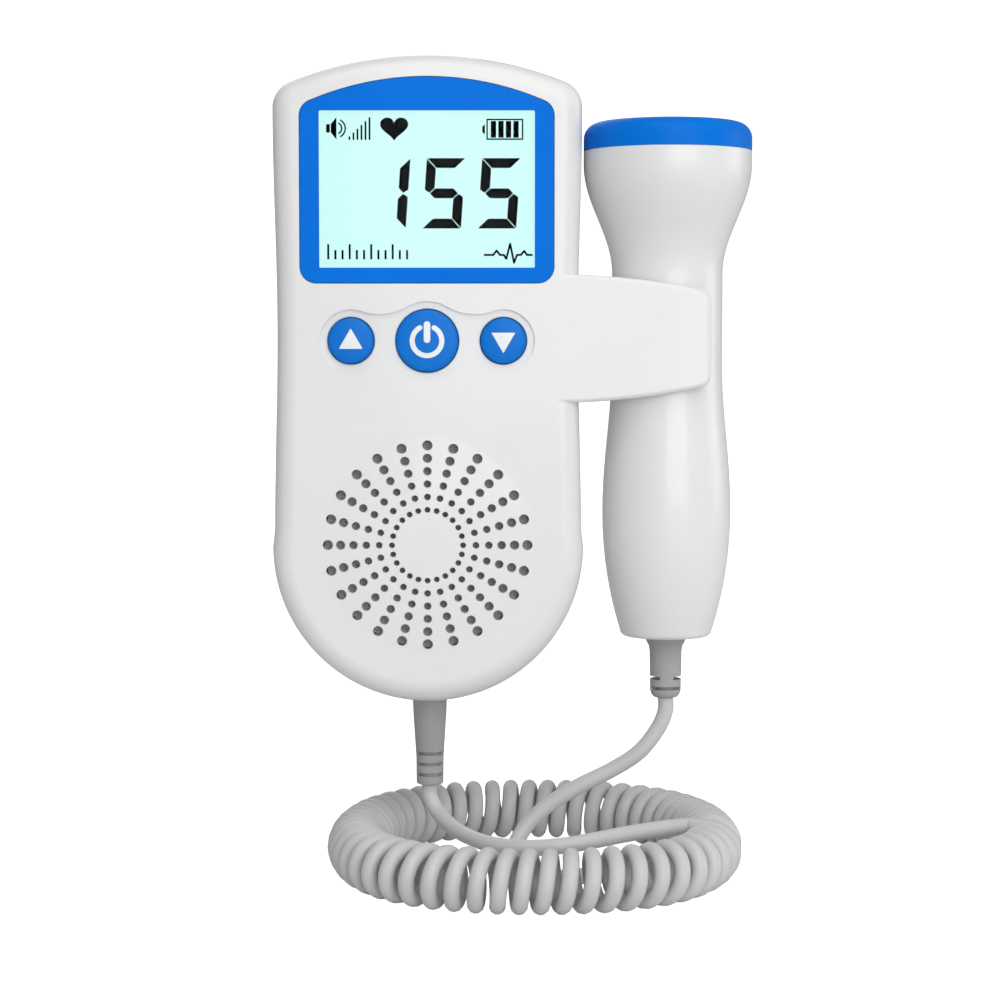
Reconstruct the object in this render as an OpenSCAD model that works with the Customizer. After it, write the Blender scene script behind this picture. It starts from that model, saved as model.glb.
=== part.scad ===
// Fetal doppler monitor: a main unit with display, keys and speaker, a probe
// that rests sideways in a clip on the unit's side, and the curly lead between.
// Millimetres. +X is to the right, -Y to the front and +Z up. The origin is on
// the flat back, on the unit's middle line.

/* [Main unit] */
// Overall height
unit_h = 135; // [128:1:142]
// Height of the origin above the lowest point
grip_h = 82.3; // [80:0.1:85]
// Radius of the round lower end
unit_r = 32.6; // [31.5:0.1:34]
// Half width under the crown's corners
crown_half = 32.2; // [31.5:0.1:33.5]
// How far the sides are drawn in at the waist
waist_in = 0.8; // [0:0.1:1.2]
// Radius of the crown's arch
arch_r = 77.5; // [65:0.5:95]
// Radius of the crown's corners
shoulder_r = 5.8; // [5:0.1:8]
// Thickness from back to front
unit_t = 33; // [32.5:0.5:36]
// Depth of the rear shell, from the back to the parting plane
rear_t = 18.5; // [18.5:0.1:19.5]
// Rounding of the front and back edges
edge_r = 4.6; // [3:0.1:4.8]
// Wall of both shells
wall = 2.2; // [1.8:0.1:2.6]

/* [Display] */
// Half width of the blue bezel
bezel_half = 26.3; // [25:0.1:26.5]
// Height of the bezel at its crown
bezel_h = 42.4; // [41:0.1:43]
// Margin between the unit's crown and the bezel
bezel_margin = 4.9; // [4.8:0.1:6]
// Radius of the bezel's upper edge
bezel_arch_r = 62; // [50:1:90]
// Radius of the bezel's corners
bezel_corner_r = 3.4; // [2:0.1:5]
// Thickness of the bezel
bezel_t = 1; // [0.8:0.1:1.2]
// Width of the window
window_w = 44.6; // [42:0.2:45]
// Height of the window
window_h = 32.3; // [30:0.1:33]
// Height of the window above the bezel's lower edge
window_up = 3.2; // [3:0.1:4]
// Width of the rim of the window behind the bezel
window_rim = 1; // [0.6:0.1:1.2]
// Thickness of the display glass
panel_t = 1.8; // [1.5:0.1:2]

/* [Keys] */
// Distance from the bezel down to the row of keys
key_drop = 11.9; // [11:0.1:13]
// Distance between the middles of neighbouring keys
key_pitch = 15.8; // [15:0.1:17]
// Radius of the power key
power_r = 6.4; // [5.5:0.1:6.8]
// Radius of the volume keys
volume_r = 4.7; // [4:0.1:5.2]
// How far a key stands out of the front
key_proud = 0.7; // [0.3:0.1:1]
// Travel of a key
key_travel = 0.8; // [0.5:0.1:1]
// Width of the shallow recess around each key
recess_rim = 1.7; // [1.2:0.1:1.8]
// Depth of the recess
recess_depth = 0.6; // [0.3:0.1:0.8]

/* [Speaker] */
// Height of the speaker above the centre of the round end
speaker_up = 0.7; // [0:0.1:1.5]
// Radius of the speaker
speaker_r = 21.2; // [20:0.1:21.4]
// Spokes of holes in the grille
grille_spokes = 24; // [18:1:26]
// Rings of holes in the grille
grille_rings = 6; // [4:1:6]
// Radius of the innermost ring of holes
grille_first_r = 7.4; // [7:0.1:8.5]
// Step from one ring of holes to the next
grille_step = 2.68; // [2.4:0.02:2.7]
// Radius of an innermost hole
grille_hole_r = 0.6; // [0.5:0.05:0.65]
// Growth of the hole radius from ring to ring
grille_growth = 0.09; // [0.05:0.01:0.1]

// Radius of the shallow dome that carries the grille
dome_r = 22.8; // [22:0.1:24]
// Rise of the dome
dome_rise = 0.6; // [0:0.1:0.8]

/* [Probe clip] */
// Distance of the probe's axis from the unit's middle line
probe_x = 50.7; // [50:0.1:53]
// Distance from the middle line to the tips of the arms
clip_reach = 59; // [57:0.2:62]
// Height of the arms' top at the root, above the origin
clip_top = 7.3; // [5:0.1:7.8]
// Height of the arms at the root
clip_h = 26.7; // [22:0.1:27]
// Fall of the top edge from root to tip
clip_fall = 3.6; // [2:0.1:5]
// Rise of the bottom edge from root to tip
clip_rise = 3.7; // [2:0.1:5]
// Clearance between the probe's neck and the clip
clip_gap = 0.3; // [0.25:0.05:0.6]

/* [Probe] */
// Height of the probe's top above the origin
probe_top = 40.4; // [38:0.1:43]
// Length of the probe
probe_l = 110; // [106:1:116]
// Radius of the head
head_r = 17.85; // [17:0.05:18.5]
// Radius of the neck
neck_r = 11.75; // [11.4:0.05:12]
// Radius of the grip at its thickest
grip_r = 13.7; // [13:0.05:14.5]
// Radius of the lower end
tail_r = 9.9; // [9:0.1:10.5]
// Height of the blue cap
cap_h = 6.8; // [6:0.1:8]
// Length of the flare from head to neck
flare_l = 23; // [20:0.5:24]
// Distance from the top down to the thickest part of the grip
grip_down = 83; // [78:1:86]
// Wall of the probe
probe_wall = 1.8; // [1.5:0.1:2.2]

/* [Batteries] */
// Radius of a cell
cell_r = 7.2; // [7:0.05:7.25]
// Length of a cell without its stud
cell_l = 49.3; // [48:0.1:49.5]
// Height of the battery bay's top above the origin
bay_top = -11.3; // [-13:0.1:-11]
// Room at the ends of the cells for springs and contacts
bay_spare = 6.7; // [6:0.1:7]
// Thickness of the battery door
door_t = 2; // [1.6:0.1:2.2]

/* [Headphone socket] */
// Height of the socket above the origin
socket_z = -19; // [-20:0.5:-18]
// Radius of the plug's bore
socket_r = 1.8; // [1.75:0.01:1.9]
// Length of the bore
socket_l = 12; // [10:0.5:13]

/* [Lead] */
// Diameter of the lead
cord_d = 3.4; // [3:0.1:3.8]
// Distance from the middle of the curly part's tube to the middle of the lead
curl_r = 5; // [4.4:0.1:6]
// Gap between neighbouring curls on the inside of the ring
curl_gap = 0.45; // [0.42:0.01:0.6]
// Full curls, before the last half curl
curls = 53; // [40:1:54]
// Radius of the ring in which the curly part lies
ring_r = 38; // [36:0.5:42]
// How much the ring bulges at its four corners
ring_bulge = 0.043; // [0:0.001:0.05]
// Height of the ring's middle above the origin
ring_z = -114.7; // [-118:0.1:-113]
// Direction of the ring's first curl, in degrees from +X
ring_from = -14; // [-20:1:-8]
// Length of the strain relief under the unit
relief_l = 19.5; // [17:0.5:22]
// Length of the strain relief under the probe
probe_relief_l = 13.4; // [12:0.2:16]

/* [Hidden] */

$fn = 64;
eps = 0.01;                       // overlap that joins two shapes for certain
fit = 0.1;                        // clearance round a piece seated in a recess

// Levels in depth, from the front backwards
front_y = -unit_t;
inner_y = front_y + wall;
light_t = 2.7;                    // thickness of the light behind the display
board_y = inner_y + panel_t + light_t;  // front face of the circuit board
board_t = 1.6;
board_back = board_y + board_t;

// How far the display glass and its light reach past the window
panel_rim = 2;
light_rim = 1.2;

// Heights
unit_top = unit_h - grip_h;
unit_low = -grip_h;
round_z = unit_low + unit_r;
bezel_low = unit_top - bezel_margin - bezel_h;
window_z = bezel_low + window_up + window_h / 2;
key_z = bezel_low - key_drop;
speaker_z = round_z + speaker_up;
board_drop = 17.5;                // from the keys down to the board's lower edge
board_margin = 9.2;               // from the crown down to its upper edge
board_low = key_z - board_drop;
board_high = unit_top - board_margin;

// Shell outline and edges
edge = min(edge_r, shoulder_r - 0.2);
edge_steps = 5;
arc_steps = 12;
side_steps = 6;
corner_steps = 4;

// Fixing points: crown posts, foot posts and board bosses
post_r = 2.4;
screw_r = 1.25;
screw_head_r = 2.1;
screw_head_t = 1.6;
screw_sink = 2.6;
screw_bite = 7;                   // how far a screw reaches into its post
post_hole = 9;
post_turn = -22;
crown_post_x = 14;
crown_post_drop = 6.4;
foot_post_r = 24.3;               // from the middle of the round lower end
board_boss_x = 24.5;
board_boss_drop = 4.3;
board_rim = 2.8;                  // board beyond the middle of its bosses
crown_post = [crown_post_x, unit_top - crown_post_drop];
foot_post = [foot_post_r * cos(post_turn), round_z + foot_post_r * sin(post_turn)];
board_boss = [board_boss_x, bezel_low - board_boss_drop];
board_head_r = 2;                 // heads of the board screws
board_head_t = 1.2;
board_screw_r = 0.85;
board_bite = 3.5;

// Key switches: their height, and the end of a key's stem over them
switch_h = 2;
switch_y = board_y - switch_h;
stem_end = switch_y - key_travel - 0.1;

// Speaker, from the cloth on the front wall back to the magnet
cloth_t = 0.3;
flange_t = 2;
frame_t = 0.8;
flange_y = inner_y + cloth_t + flange_t;
basket_t = 5.6;
magnet_t = 2.6;
basket_y = flange_y + basket_t;
magnet_y = basket_y + magnet_t;
magnet_r = 11.5;
coil_r = 3.9;
cone_t = 0.5;
dust_cap_h = 3.4;
wire_r = 0.6;
wire_x = 3;                       // wires right and left of the middle
wire_gap = 0.05;
solder_up = 3;                    // from the board's edge to the wires' ends
wire_run = 7.7;                   // least length of the speaker's wires

// Headphone socket
socket_half = 2.8;
socket_nose_r = 2.6;
socket_y = board_back + socket_half;
socket_face = -(unit_r - waist_in - 0.3);

// Battery bay and door
bay_half = 2 * cell_r + 1.2;
bay_wall = 2.2;
bay_len = cell_l + bay_spare;
bay_low = bay_top - bay_len;
cell_x = cell_r + 0.55;
cell_y = -door_t - 0.2 - 0.4 - cell_r;
bay_floor = cell_y - cell_r - 0.2;
door_half = bay_half + 1.6;
door_gap = 0.25;
door_y = -0.1;                    // outer face of the door
pivot_r = door_t / 2;
pivot_y = door_y - pivot_r;
pivot_z = bay_low - 2.1;
door_top = bay_top + 2;
hinge_pin_r = 0.8;
hinge_pin_l = 1.2;
hinge_play = 0.05;
contact_t = 0.5;
spring_l = bay_spare - 1 - 2 * contact_t;
spring_r = 3.2;
spring_wall = 0.6;
contact_half = 5;
tab_w = 2.4;
tab_t = 0.5;
tab_y = cell_y - 2.4;

// Probe
probe_y = -rear_t;
probe_low = probe_top - probe_l;
cap_z = probe_top - cap_h;
flare_top = cap_z - 2.8;
neck_end = flare_top - flare_l;
grip_start = neck_end - 18.8;
grip_z = probe_top - grip_down;
cap_edge = 3.4;
cap_rise = 0.8;
lens_r = head_r - cap_edge - 0.95;
lens_z = probe_top - cap_rise - 1;   // underside of the acoustic lens
tail_edge = 1.4;
crystal_r = lens_r - 4.5;
crystal_t = 2;
carrier_top = lens_z - 0.1 - crystal_t;
probe_board_high = neck_end - 0.5;
probe_board_low = grip_start + 0.5;
relief_neck = 2.9;
collar_r = 4.6;
collar_t = 1.5;
collar_rise = unit_r - wall - sqrt(pow(unit_r - wall, 2) - pow(collar_r, 2));
probe_board_t = 1.6;

// Clip: it clears the neck and the first part of the grip
clip_inner = max(neck_r, probe_r(clip_top - clip_h)) + clip_gap;
clip_outer = unit_t - rear_t;     // outer face of an arm, from the parting plane
clip_root = 26;
clip_corner = 2;

// Lead
cord_r = cord_d / 2;
relief_end = unit_low - relief_l;
probe_relief_end = probe_low - probe_relief_l;
ring_x = 22.6;
ring_y = -18;
ring_mid = [ring_x, ring_y, ring_z];
curl_steps = 8;
curl_sides = 6;
lead_sides = 8;
lead_steps = 3;
// Route of the lead from under the unit to the ring
unit_route = [[0, -18.5, -104.5], [2, -20, -108], [6, -26, -110.5],
  [12, -34, -111.5], [19, -38, -111.7], [27, -39, -111.2], [35, -37, -110.3],
  [43, -32, -109.8]];
// Route of the lead from under the probe down into the ring
probe_route = [[50.7, -18.5, -86], [49, -18.5, -90], [45, -18.5, -95],
  [39, -18, -99], [32, -18, -102.5], [25, -18, -107], [20, -19, -112],
  [18, -23, -117], [22, -29, -119.5], [31, -30, -119.6], [41, -22, -119.7]];

// ---------------------------------------------------------------- outlines

function arc_point(c, r, turn) = [c.x + r * cos(turn), c.y + r * sin(turn)];

// Right half of an outline with a round foot and an arched crown
function half_outline(foot, half, low, foot_r, top, arch, corner, draw, inset) =
  let(crown_z = top - arch,
      corner_x = half - corner,
      corner_z = crown_z + sqrt(pow(arch - corner, 2) - pow(corner_x, 2)),
      turn = acos(corner_x / (arch - corner)),
      side_z = low + foot_r)
  concat(
    [for (i = [0:arc_steps])
      arc_point([foot - foot_r, side_z], foot_r - inset, -90 + 90 * i / arc_steps)],
    [for (i = [1:side_steps - 1]) let(t = i / side_steps)
      [foot + (half - foot) * t - draw * pow(sin(180 * t), 2) - inset,
       side_z + (corner_z - side_z) * t]],
    [for (i = [0:corner_steps])
      arc_point([corner_x, corner_z], corner - inset, turn * i / corner_steps)],
    [for (i = [1:side_steps])
      arc_point([0, crown_z], arch - inset, turn + (90 - turn) * i / side_steps)]);

// Both halves, counter-clockwise as seen from the front
function closed_outline(right) = concat(right,
  [for (i = [len(right) - 1:-1:0]) if (right[i].x > eps) [-right[i].x, right[i].y]]);

function unit_outline(inset) = closed_outline(half_outline(unit_r, crown_half,
  unit_low, unit_r, unit_top, arch_r, shoulder_r, waist_in, inset));

function bezel_outline(inset) = closed_outline(half_outline(bezel_half, bezel_half,
  bezel_low, bezel_corner_r, unit_top - bezel_margin, bezel_arch_r,
  bezel_corner_r, 0, inset));

// Rings of the unit's outline, each at its own depth and inset
function outline_rings(stations) = [for (s = stations)
  [for (p = unit_outline(s[1])) [p.x, s[0], p.y]]];

// Depth and inset of the front shell's skin, the wall inwards by w
function front_stations(w, rim) = concat([[rim, w]],
  [for (i = [0:edge_steps]) let(a = 90 * i / edge_steps)
    [front_y + w + (edge - w) * (1 - sin(a)), edge - (edge - w) * cos(a)]]);

// The same for the rear shell
function rear_stations(w, rim) = concat(
  [for (i = [edge_steps:-1:0]) let(a = 90 * i / edge_steps)
    [-w - (edge - w) * (1 - sin(a)), edge - (edge - w) * cos(a)]],
  [[rim, w]]);

// Closed solid over a stack of rings that run right-handed along the stack
module skin(rings) {
  n = len(rings[0]);
  m = len(rings);
  polyhedron(
    points = [for (r = rings) each r],
    faces = concat(
      [[for (i = [0:n - 1]) i]],
      [for (k = [0:m - 2], i = [0:n - 1]) let(j = (i + 1) % n)
        each [[k * n + i, (k + 1) * n + i, (k + 1) * n + j],
              [k * n + i, (k + 1) * n + j, k * n + j]]],
      [[for (i = [n - 1:-1:0]) (m - 1) * n + i]]));
}

// A flat shape drawn as seen from the front, from depth y forwards by t
module plate(y, t) {
  translate([0, y, 0]) rotate([90, 0, 0]) linear_extrude(t) children();
}

// A round bar along the depth, from y forwards by t
module bar(x, z, r, y, t) {
  translate([x, y, z]) rotate([90, 0, 0]) cylinder(r = r, h = t);
}

module block(low, high) {
  translate(low) cube(high - low);
}

// ---------------------------------------------------------------- main unit

function clip_outline(inset) =
  let(root = clip_root + inset / 2,
      tip = clip_reach - inset,
      tip_x = tip - clip_corner,
      top_at = function (x) clip_top - clip_fall * pow((x - clip_root)
        / (clip_reach - clip_root), 2) - inset,
      low_at = function (x) clip_top - clip_h + clip_rise * pow((x - clip_root)
        / (clip_reach - clip_root), 2) + inset)
  concat(
    [for (i = [0:side_steps]) let(x = root + (tip_x - root) * i / side_steps)
      [x, low_at(x)]],
    [for (a = [-60:30:0])
      arc_point([tip_x, low_at(tip_x) + clip_corner], clip_corner, a)],
    [for (a = [0:30:60])
      arc_point([tip_x, top_at(tip_x) - clip_corner], clip_corner, a)],
    [for (i = [side_steps:-1:0]) let(x = root + (tip_x - root) * i / side_steps)
      [x, top_at(x)]]);

// One half of the clip, from the parting plane outwards, arm and saddle in one
module clip_half() {
  difference() {
    plate(-rear_t, clip_outer) polygon(clip_outline(0));
    translate([probe_x, -rear_t, clip_top - clip_h - 1])
      cylinder(r = clip_inner, h = clip_h + 2);
    block([probe_x, -rear_t - clip_inner, clip_top - clip_h - 1],
      [clip_reach + 1, -rear_t + 1, clip_top + 1]);
  }
}

// The hollow behind the saddle, open to the inside of the unit
module clip_hollow() {
  difference() {
    plate(-rear_t + eps, clip_outer - wall) polygon(clip_outline(wall));
    translate([probe_x, -rear_t, clip_top - clip_h - 1])
      cylinder(r = clip_inner + wall, h = clip_h + 2);
    block([probe_x - 4, -unit_t - 1, clip_top - clip_h - 1],
      [clip_reach + 1, 1, clip_top + 1]);
  }
}

// The front half's shapes turned over to the rear half
module to_rear() {
  translate([0, -2 * rear_t, 0]) mirror([0, 1, 0]) children();
}

module sides() {
  children();
  mirror([1, 0, 0]) children();
}

module key_recess() {
  plate(front_y + recess_depth, recess_depth + 1)
    square([2 * key_pitch, 2 * (volume_r + recess_rim - 1)], center = true);
}

// Shallow dome on the front, rooted in the wall
module grille_dome() {
  translate([0, front_y, speaker_z]) rotate([90, 0, 0]) rotate_extrude()
    polygon(concat([[0, -wall / 2], [dome_r, -wall / 2]],
      [for (i = [0:6]) let(r = dome_r * (1 - i / 6))
        [r, dome_rise * (1 - pow(r / dome_r, 2))]]));
}

module front_shell() {
  rim_r = volume_r + recess_rim;
  color([0.92, 0.92, 0.92]) {
    difference() {
      union() {
        skin(outline_rings(front_stations(0, -rear_t)));
        clip_half();
        grille_dome();
      }
      skin(outline_rings(front_stations(wall, -rear_t + 1)));
      clip_hollow();
      // Seat of the bezel and hole for the window
      plate(front_y + bezel_t, bezel_t + 1) polygon(bezel_outline(-fit));
      block([-window_w / 2 - window_rim - fit, front_y - 1, window_z - window_h / 2 - window_rim - fit],
        [window_w / 2 + window_rim + fit, inner_y + 1, window_z + window_h / 2 + window_rim + fit]);
      // Keys and the recess round them
      translate([0, 0, key_z]) key_recess();
      bar(0, key_z, power_r + recess_rim, front_y + recess_depth, recess_depth + 1);
      bar(0, key_z, power_r + 0.2, inner_y + 1, wall + 2);
      for (x = [-key_pitch, key_pitch]) {
        bar(x, key_z, rim_r, front_y + recess_depth, recess_depth + 1);
        bar(x, key_z, volume_r + 0.2, inner_y + 1, wall + 2);
      }
      // Speaker grille
      for (ring = [0:grille_rings - 1], spoke = [0:grille_spokes - 1])
        let(c = arc_point([0, speaker_z], grille_first_r + ring * grille_step,
              360 * spoke / grille_spokes))
          bar(c.x, c.y, grille_hole_r + ring * grille_growth, inner_y + 1,
            wall + dome_rise + 2, $fn = 24);
      lead_hole();
      socket_hole();
    }
    sides() {
      post(crown_post, inner_y, post_hole);
      post(foot_post, inner_y, post_hole);
      difference() {
        bar(board_boss.x, board_boss.y, 2.2, board_y, board_y - inner_y + 0.5);
        bar(board_boss.x, board_boss.y, 0.9, board_y + 1, 4.5);
      }
    }
  }
}

// A screw post from the front wall to the parting plane, with its pilot hole
module post(at, y, depth) {
  difference() {
    bar(at.x, at.y, post_r, -rear_t, -rear_t - y + 0.5);
    bar(at.x, at.y, screw_r + 0.05, -rear_t + 1, depth + 1);
  }
}

module lead_hole() {
  translate([0, probe_y, unit_low - 1]) cylinder(r = relief_neck + fit, h = wall + 2);
}

module socket_hole() {
  translate([-unit_r - 1, socket_y, socket_z]) rotate([0, 90, 0])
    cylinder(r = socket_nose_r + fit, h = wall + 4);
}

module rear_shell() {
  bay_out = bay_half + bay_wall;
  color([0.92, 0.92, 0.92]) difference() {
    union() {
      difference() {
        union() {
          skin(outline_rings(rear_stations(0, -rear_t)));
          to_rear() clip_half();
        }
        skin(outline_rings(rear_stations(wall, -rear_t - 1)));
        to_rear() clip_hollow();
      }
      block([-bay_out, -rear_t, bay_low - 4.7], [bay_out, -wall / 2, door_top + 0.6]);
      sides() {
        bar(crown_post.x, crown_post.y, post_r + 0.3, -wall / 2, rear_t - wall / 2);
        bar(foot_post.x, foot_post.y, post_r, -wall / 2, rear_t - wall / 2);
      }
    }
    // Bay, seat of the door and groove of its hinge
    block([-bay_half, bay_floor, bay_low], [bay_half, 1, bay_top]);
    block([-door_half - door_gap, -door_t - 0.2, pivot_z],
      [door_half + door_gap, 1, door_top + door_gap]);
    translate([-door_half - door_gap, pivot_y, pivot_z]) rotate([0, 90, 0])
      cylinder(r = pivot_r + door_gap, h = 2 * (door_half + door_gap));
    block([-door_half - door_gap, pivot_y, pivot_z - pivot_r - door_gap],
      [door_half + door_gap, 1, pivot_z]);
    translate([-door_half - hinge_pin_l - 0.1, pivot_y, pivot_z]) rotate([0, 90, 0])
      cylinder(r = hinge_pin_r + hinge_play, h = 2 * (door_half + hinge_pin_l + 0.1));
    for (x = [-cell_x, cell_x])
      block([x - tab_w / 2 - fit, tab_y - tab_t - fit, bay_top - 1],
        [x + tab_w / 2 + fit, tab_y + fit, door_top + 1]);
    // Screw holes with sunk seats for the heads
    sides() for (at = [crown_post, foot_post]) {
      bar(at.x, at.y, screw_r + 0.05, 1, rear_t + 2);
      bar(at.x, at.y, screw_head_r + fit, 1, 1 + screw_sink);
    }
    lead_hole();
  }
}

module shell_screws() {
  color([0.75, 0.75, 0.77]) sides() for (at = [crown_post, foot_post]) {
    bar(at.x, at.y, screw_head_r, -screw_sink + screw_head_t, screw_head_t);
    bar(at.x, at.y, screw_r, -screw_sink, rear_t - screw_sink + screw_bite);
  }
}

module battery_door() {
  color([0.9, 0.9, 0.9]) difference() {
    union() {
      block([-door_half, door_y - door_t, pivot_z], [door_half, door_y, door_top]);
      translate([-door_half, pivot_y, pivot_z]) rotate([0, 90, 0])
        cylinder(r = pivot_r, h = 2 * door_half);
      translate([-door_half - hinge_pin_l, pivot_y, pivot_z]) rotate([0, 90, 0])
        cylinder(r = hinge_pin_r, h = 2 * (door_half + hinge_pin_l));
    }
    // Finger notch at the top edge
    translate([0, door_y + 5.2, door_top - 5]) rotate([0, 90, 0])
      cylinder(r = 6, h = 14, center = true);
  }
}

// ---------------------------------------------------------------- display

module display_bezel() {
  color([0.03, 0.47, 0.88]) difference() {
    plate(front_y + bezel_t, bezel_t) polygon(bezel_outline(0));
    block([-window_w / 2, front_y - 1, window_z - window_h / 2],
      [window_w / 2, inner_y, window_z + window_h / 2]);
  }
}

module display_window() {
  half_w = window_w / 2 - 0.05;
  half_h = window_h / 2 - 0.05;
  color([0.85, 1, 0.98, 0.5]) union() {
    block([-half_w, front_y, window_z - half_h], [half_w, inner_y, window_z + half_h]);
    block([-half_w - window_rim, front_y + bezel_t, window_z - half_h - window_rim],
      [half_w + window_rim, inner_y, window_z + half_h + window_rim]);
  }
}

module lcd_panel() {
  color([0.75, 0.95, 0.92]) block(
    [-window_w / 2 - panel_rim, inner_y, window_z - window_h / 2 - panel_rim],
    [window_w / 2 + panel_rim, inner_y + panel_t, window_z + window_h / 2 + panel_rim]);
}

module lcd_backlight() {
  color([0.97, 0.97, 0.95]) block(
    [-window_w / 2 - light_rim, inner_y + panel_t, window_z - window_h / 2 - light_rim],
    [window_w / 2 + light_rim, board_y, window_z + window_h / 2 + light_rim]);
}

// ---------------------------------------------------------------- keys

// A round key with a slightly domed face, a rim behind the wall and a stem
module key(r) {
  crown = 0.35;
  rim = 1.1;
  color([0.05, 0.47, 0.85]) rotate([90, 0, 0]) rotate_extrude()
    polygon(concat(
      [[0, -stem_end], [2, -stem_end], [2, -inner_y - 0.9], [r + rim, -inner_y - 0.9],
       [r + rim, -inner_y - 0.1], [r, -inner_y - 0.1], [r, unit_t + key_proud - crown - 0.25],
       [r - 0.3, unit_t + key_proud - crown]],
      [for (i = [1:4]) let(t = i / 4)
        [(r - 0.3) * (1 - t), unit_t + key_proud - crown * pow(1 - t, 2)]]));
}

module power_button() {
  translate([0, 0, key_z]) key(power_r);
}

module volume_up_button() {
  translate([-key_pitch, 0, key_z]) key(volume_r);
}

module volume_down_button() {
  translate([key_pitch, 0, key_z]) key(volume_r);
}

module key_switches() {
  color([0.2, 0.2, 0.22]) for (x = [-key_pitch, 0, key_pitch]) {
    block([x - 3, switch_y + 0.3, key_z - 3], [x + 3, board_y, key_z + 3]);
    bar(x, key_z, 1.7, board_y, switch_h);
  }
}

module main_circuit_board() {
  board_half = board_boss.x + board_rim;
  color([0.1, 0.4, 0.2]) difference() {
    block([-board_half, board_y, board_low], [board_half, board_back, board_high]);
    sides() bar(board_boss.x, board_boss.y, 1.2, board_back + 1, board_t + 2);
  }
}

module board_screws() {
  color([0.75, 0.75, 0.77]) sides() {
    bar(board_boss.x, board_boss.y, board_head_r, board_back + board_head_t, board_head_t);
    bar(board_boss.x, board_boss.y, board_screw_r, board_back, board_t + board_bite);
  }
}

// ---------------------------------------------------------------- speaker

module speaker_cloth() {
  color([0.15, 0.15, 0.16]) bar(0, speaker_z, speaker_r + 0.4, inner_y + cloth_t, cloth_t);
}

// The pressed frame: a flange, a sloping basket and a back plate
module speaker_frame() {
  color([0.35, 0.35, 0.37]) translate([0, 0, speaker_z]) rotate([90, 0, 0]) rotate_extrude()
    polygon([[speaker_r, -flange_y], [speaker_r, -flange_y + flange_t],
      [speaker_r - 2, -flange_y + flange_t], [speaker_r - 2, -flange_y + frame_t],
      [magnet_r - 1.5, -basket_y + frame_t], [coil_r + 0.3, -basket_y + frame_t],
      [coil_r + 0.3, -basket_y], [magnet_r - 1, -basket_y], [speaker_r - 1.4, -flange_y]]);
}

// The paper cone with its dust cap and the tube of the voice coil
module speaker_cone() {
  back = -basket_y;
  rim = [speaker_r - 2.1, -flange_y + flange_t];
  throat = coil_r + 1;
  color([0.12, 0.12, 0.12]) translate([0, 0, speaker_z]) rotate([90, 0, 0]) rotate_extrude()
    polygon([[0, back + 2.1], [coil_r - 0.5, back + 2.1], [coil_r - 0.5, back + 0.2],
      [coil_r, back + 0.2], [coil_r, back + 1.8], [throat, back + 1.8],
      [rim.x, rim.y - cone_t], rim, [throat, back + 1.8 + cone_t], [0, back + dust_cap_h]]);
}

module speaker_magnet() {
  color([0.25, 0.25, 0.27]) bar(0, speaker_z, magnet_r, magnet_y, magnet_y - basket_y);
}

module speaker_wires() {
  wire_low = speaker_z + speaker_r - 1.3;
  wire_top = max(board_low + solder_up, wire_low + wire_run);
  color([0.7, 0.1, 0.1]) for (x = [-wire_x, wire_x]) {
    translate([x, flange_y + wire_r + wire_gap, wire_low])
      cylinder(r = wire_r, h = wire_top - wire_low, $fn = 16);
    bar(x, wire_top - wire_r, wire_r, board_y, board_y - flange_y - wire_r, $fn = 16);
  }
}

// ---------------------------------------------------------------- socket

module headphone_socket() {
  body_x = -unit_r + wall + 1.2;
  color([0.1, 0.1, 0.1]) difference() {
    union() {
      block([body_x, socket_y - socket_half, socket_z - socket_half],
        [socket_face + socket_l + 1, socket_y + socket_half, socket_z + socket_half]);
      translate([socket_face, socket_y, socket_z]) rotate([0, 90, 0])
        cylinder(r = socket_nose_r, h = 5);
    }
    translate([socket_face - 1, socket_y, socket_z]) rotate([0, 90, 0])
      cylinder(r = socket_r, h = socket_l + 1);
  }
}

// ---------------------------------------------------------------- batteries

// A cell that stands on its flat end at z = 0
module cell() {
  cylinder(r = cell_r, h = cell_l);
  cylinder(r = 2.7, h = cell_l + 1);
}

module battery_cell_left() {
  color([0.15, 0.15, 0.17]) translate([-cell_x, cell_y, bay_low + contact_t + spring_l]) cell();
}

module battery_cell_right() {
  color([0.15, 0.15, 0.17]) translate([cell_x, cell_y, bay_top - contact_t - spring_l])
    mirror([0, 0, 1]) cell();
}

// A contact plate with its lower face at z = 0
module contact_plate() {
  block([-contact_half, -contact_half, 0], [contact_half, contact_half, contact_t]);
}

module solder_tab(x) {
  block([x - tab_w / 2, tab_y - tab_t, bay_top - contact_t], [x + tab_w / 2, tab_y, door_top + 1.6]);
}

module battery_spring_contacts() {
  color([0.8, 0.8, 0.82]) {
    translate([-cell_x, cell_y, bay_low]) {
      contact_plate();
      spring_sleeve();
    }
    translate([cell_x, cell_y, bay_top]) mirror([0, 0, 1]) {
      contact_plate();
      spring_sleeve();
    }
    solder_tab(cell_x);
  }
}

module spring_sleeve() {
  difference() {
    cylinder(r = spring_r, h = contact_t + spring_l);
    translate([0, 0, contact_t]) cylinder(r = spring_r - spring_wall, h = spring_l + 1);
  }
}

module battery_plate_contacts() {
  color([0.8, 0.8, 0.82]) {
    translate([-cell_x, cell_y, bay_top - contact_t]) contact_plate();
    translate([cell_x, cell_y, bay_low]) contact_plate();
    solder_tab(-cell_x);
  }
}

module battery_wires() {
  color([0.7, 0.1, 0.1]) for (x = [-cell_x, cell_x])
    bar(x, door_top + 0.6 + wire_r + 0.1, wire_r, tab_y - tab_t, tab_y - tab_t - board_back, $fn = 16);
}

// ---------------------------------------------------------------- probe

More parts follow.
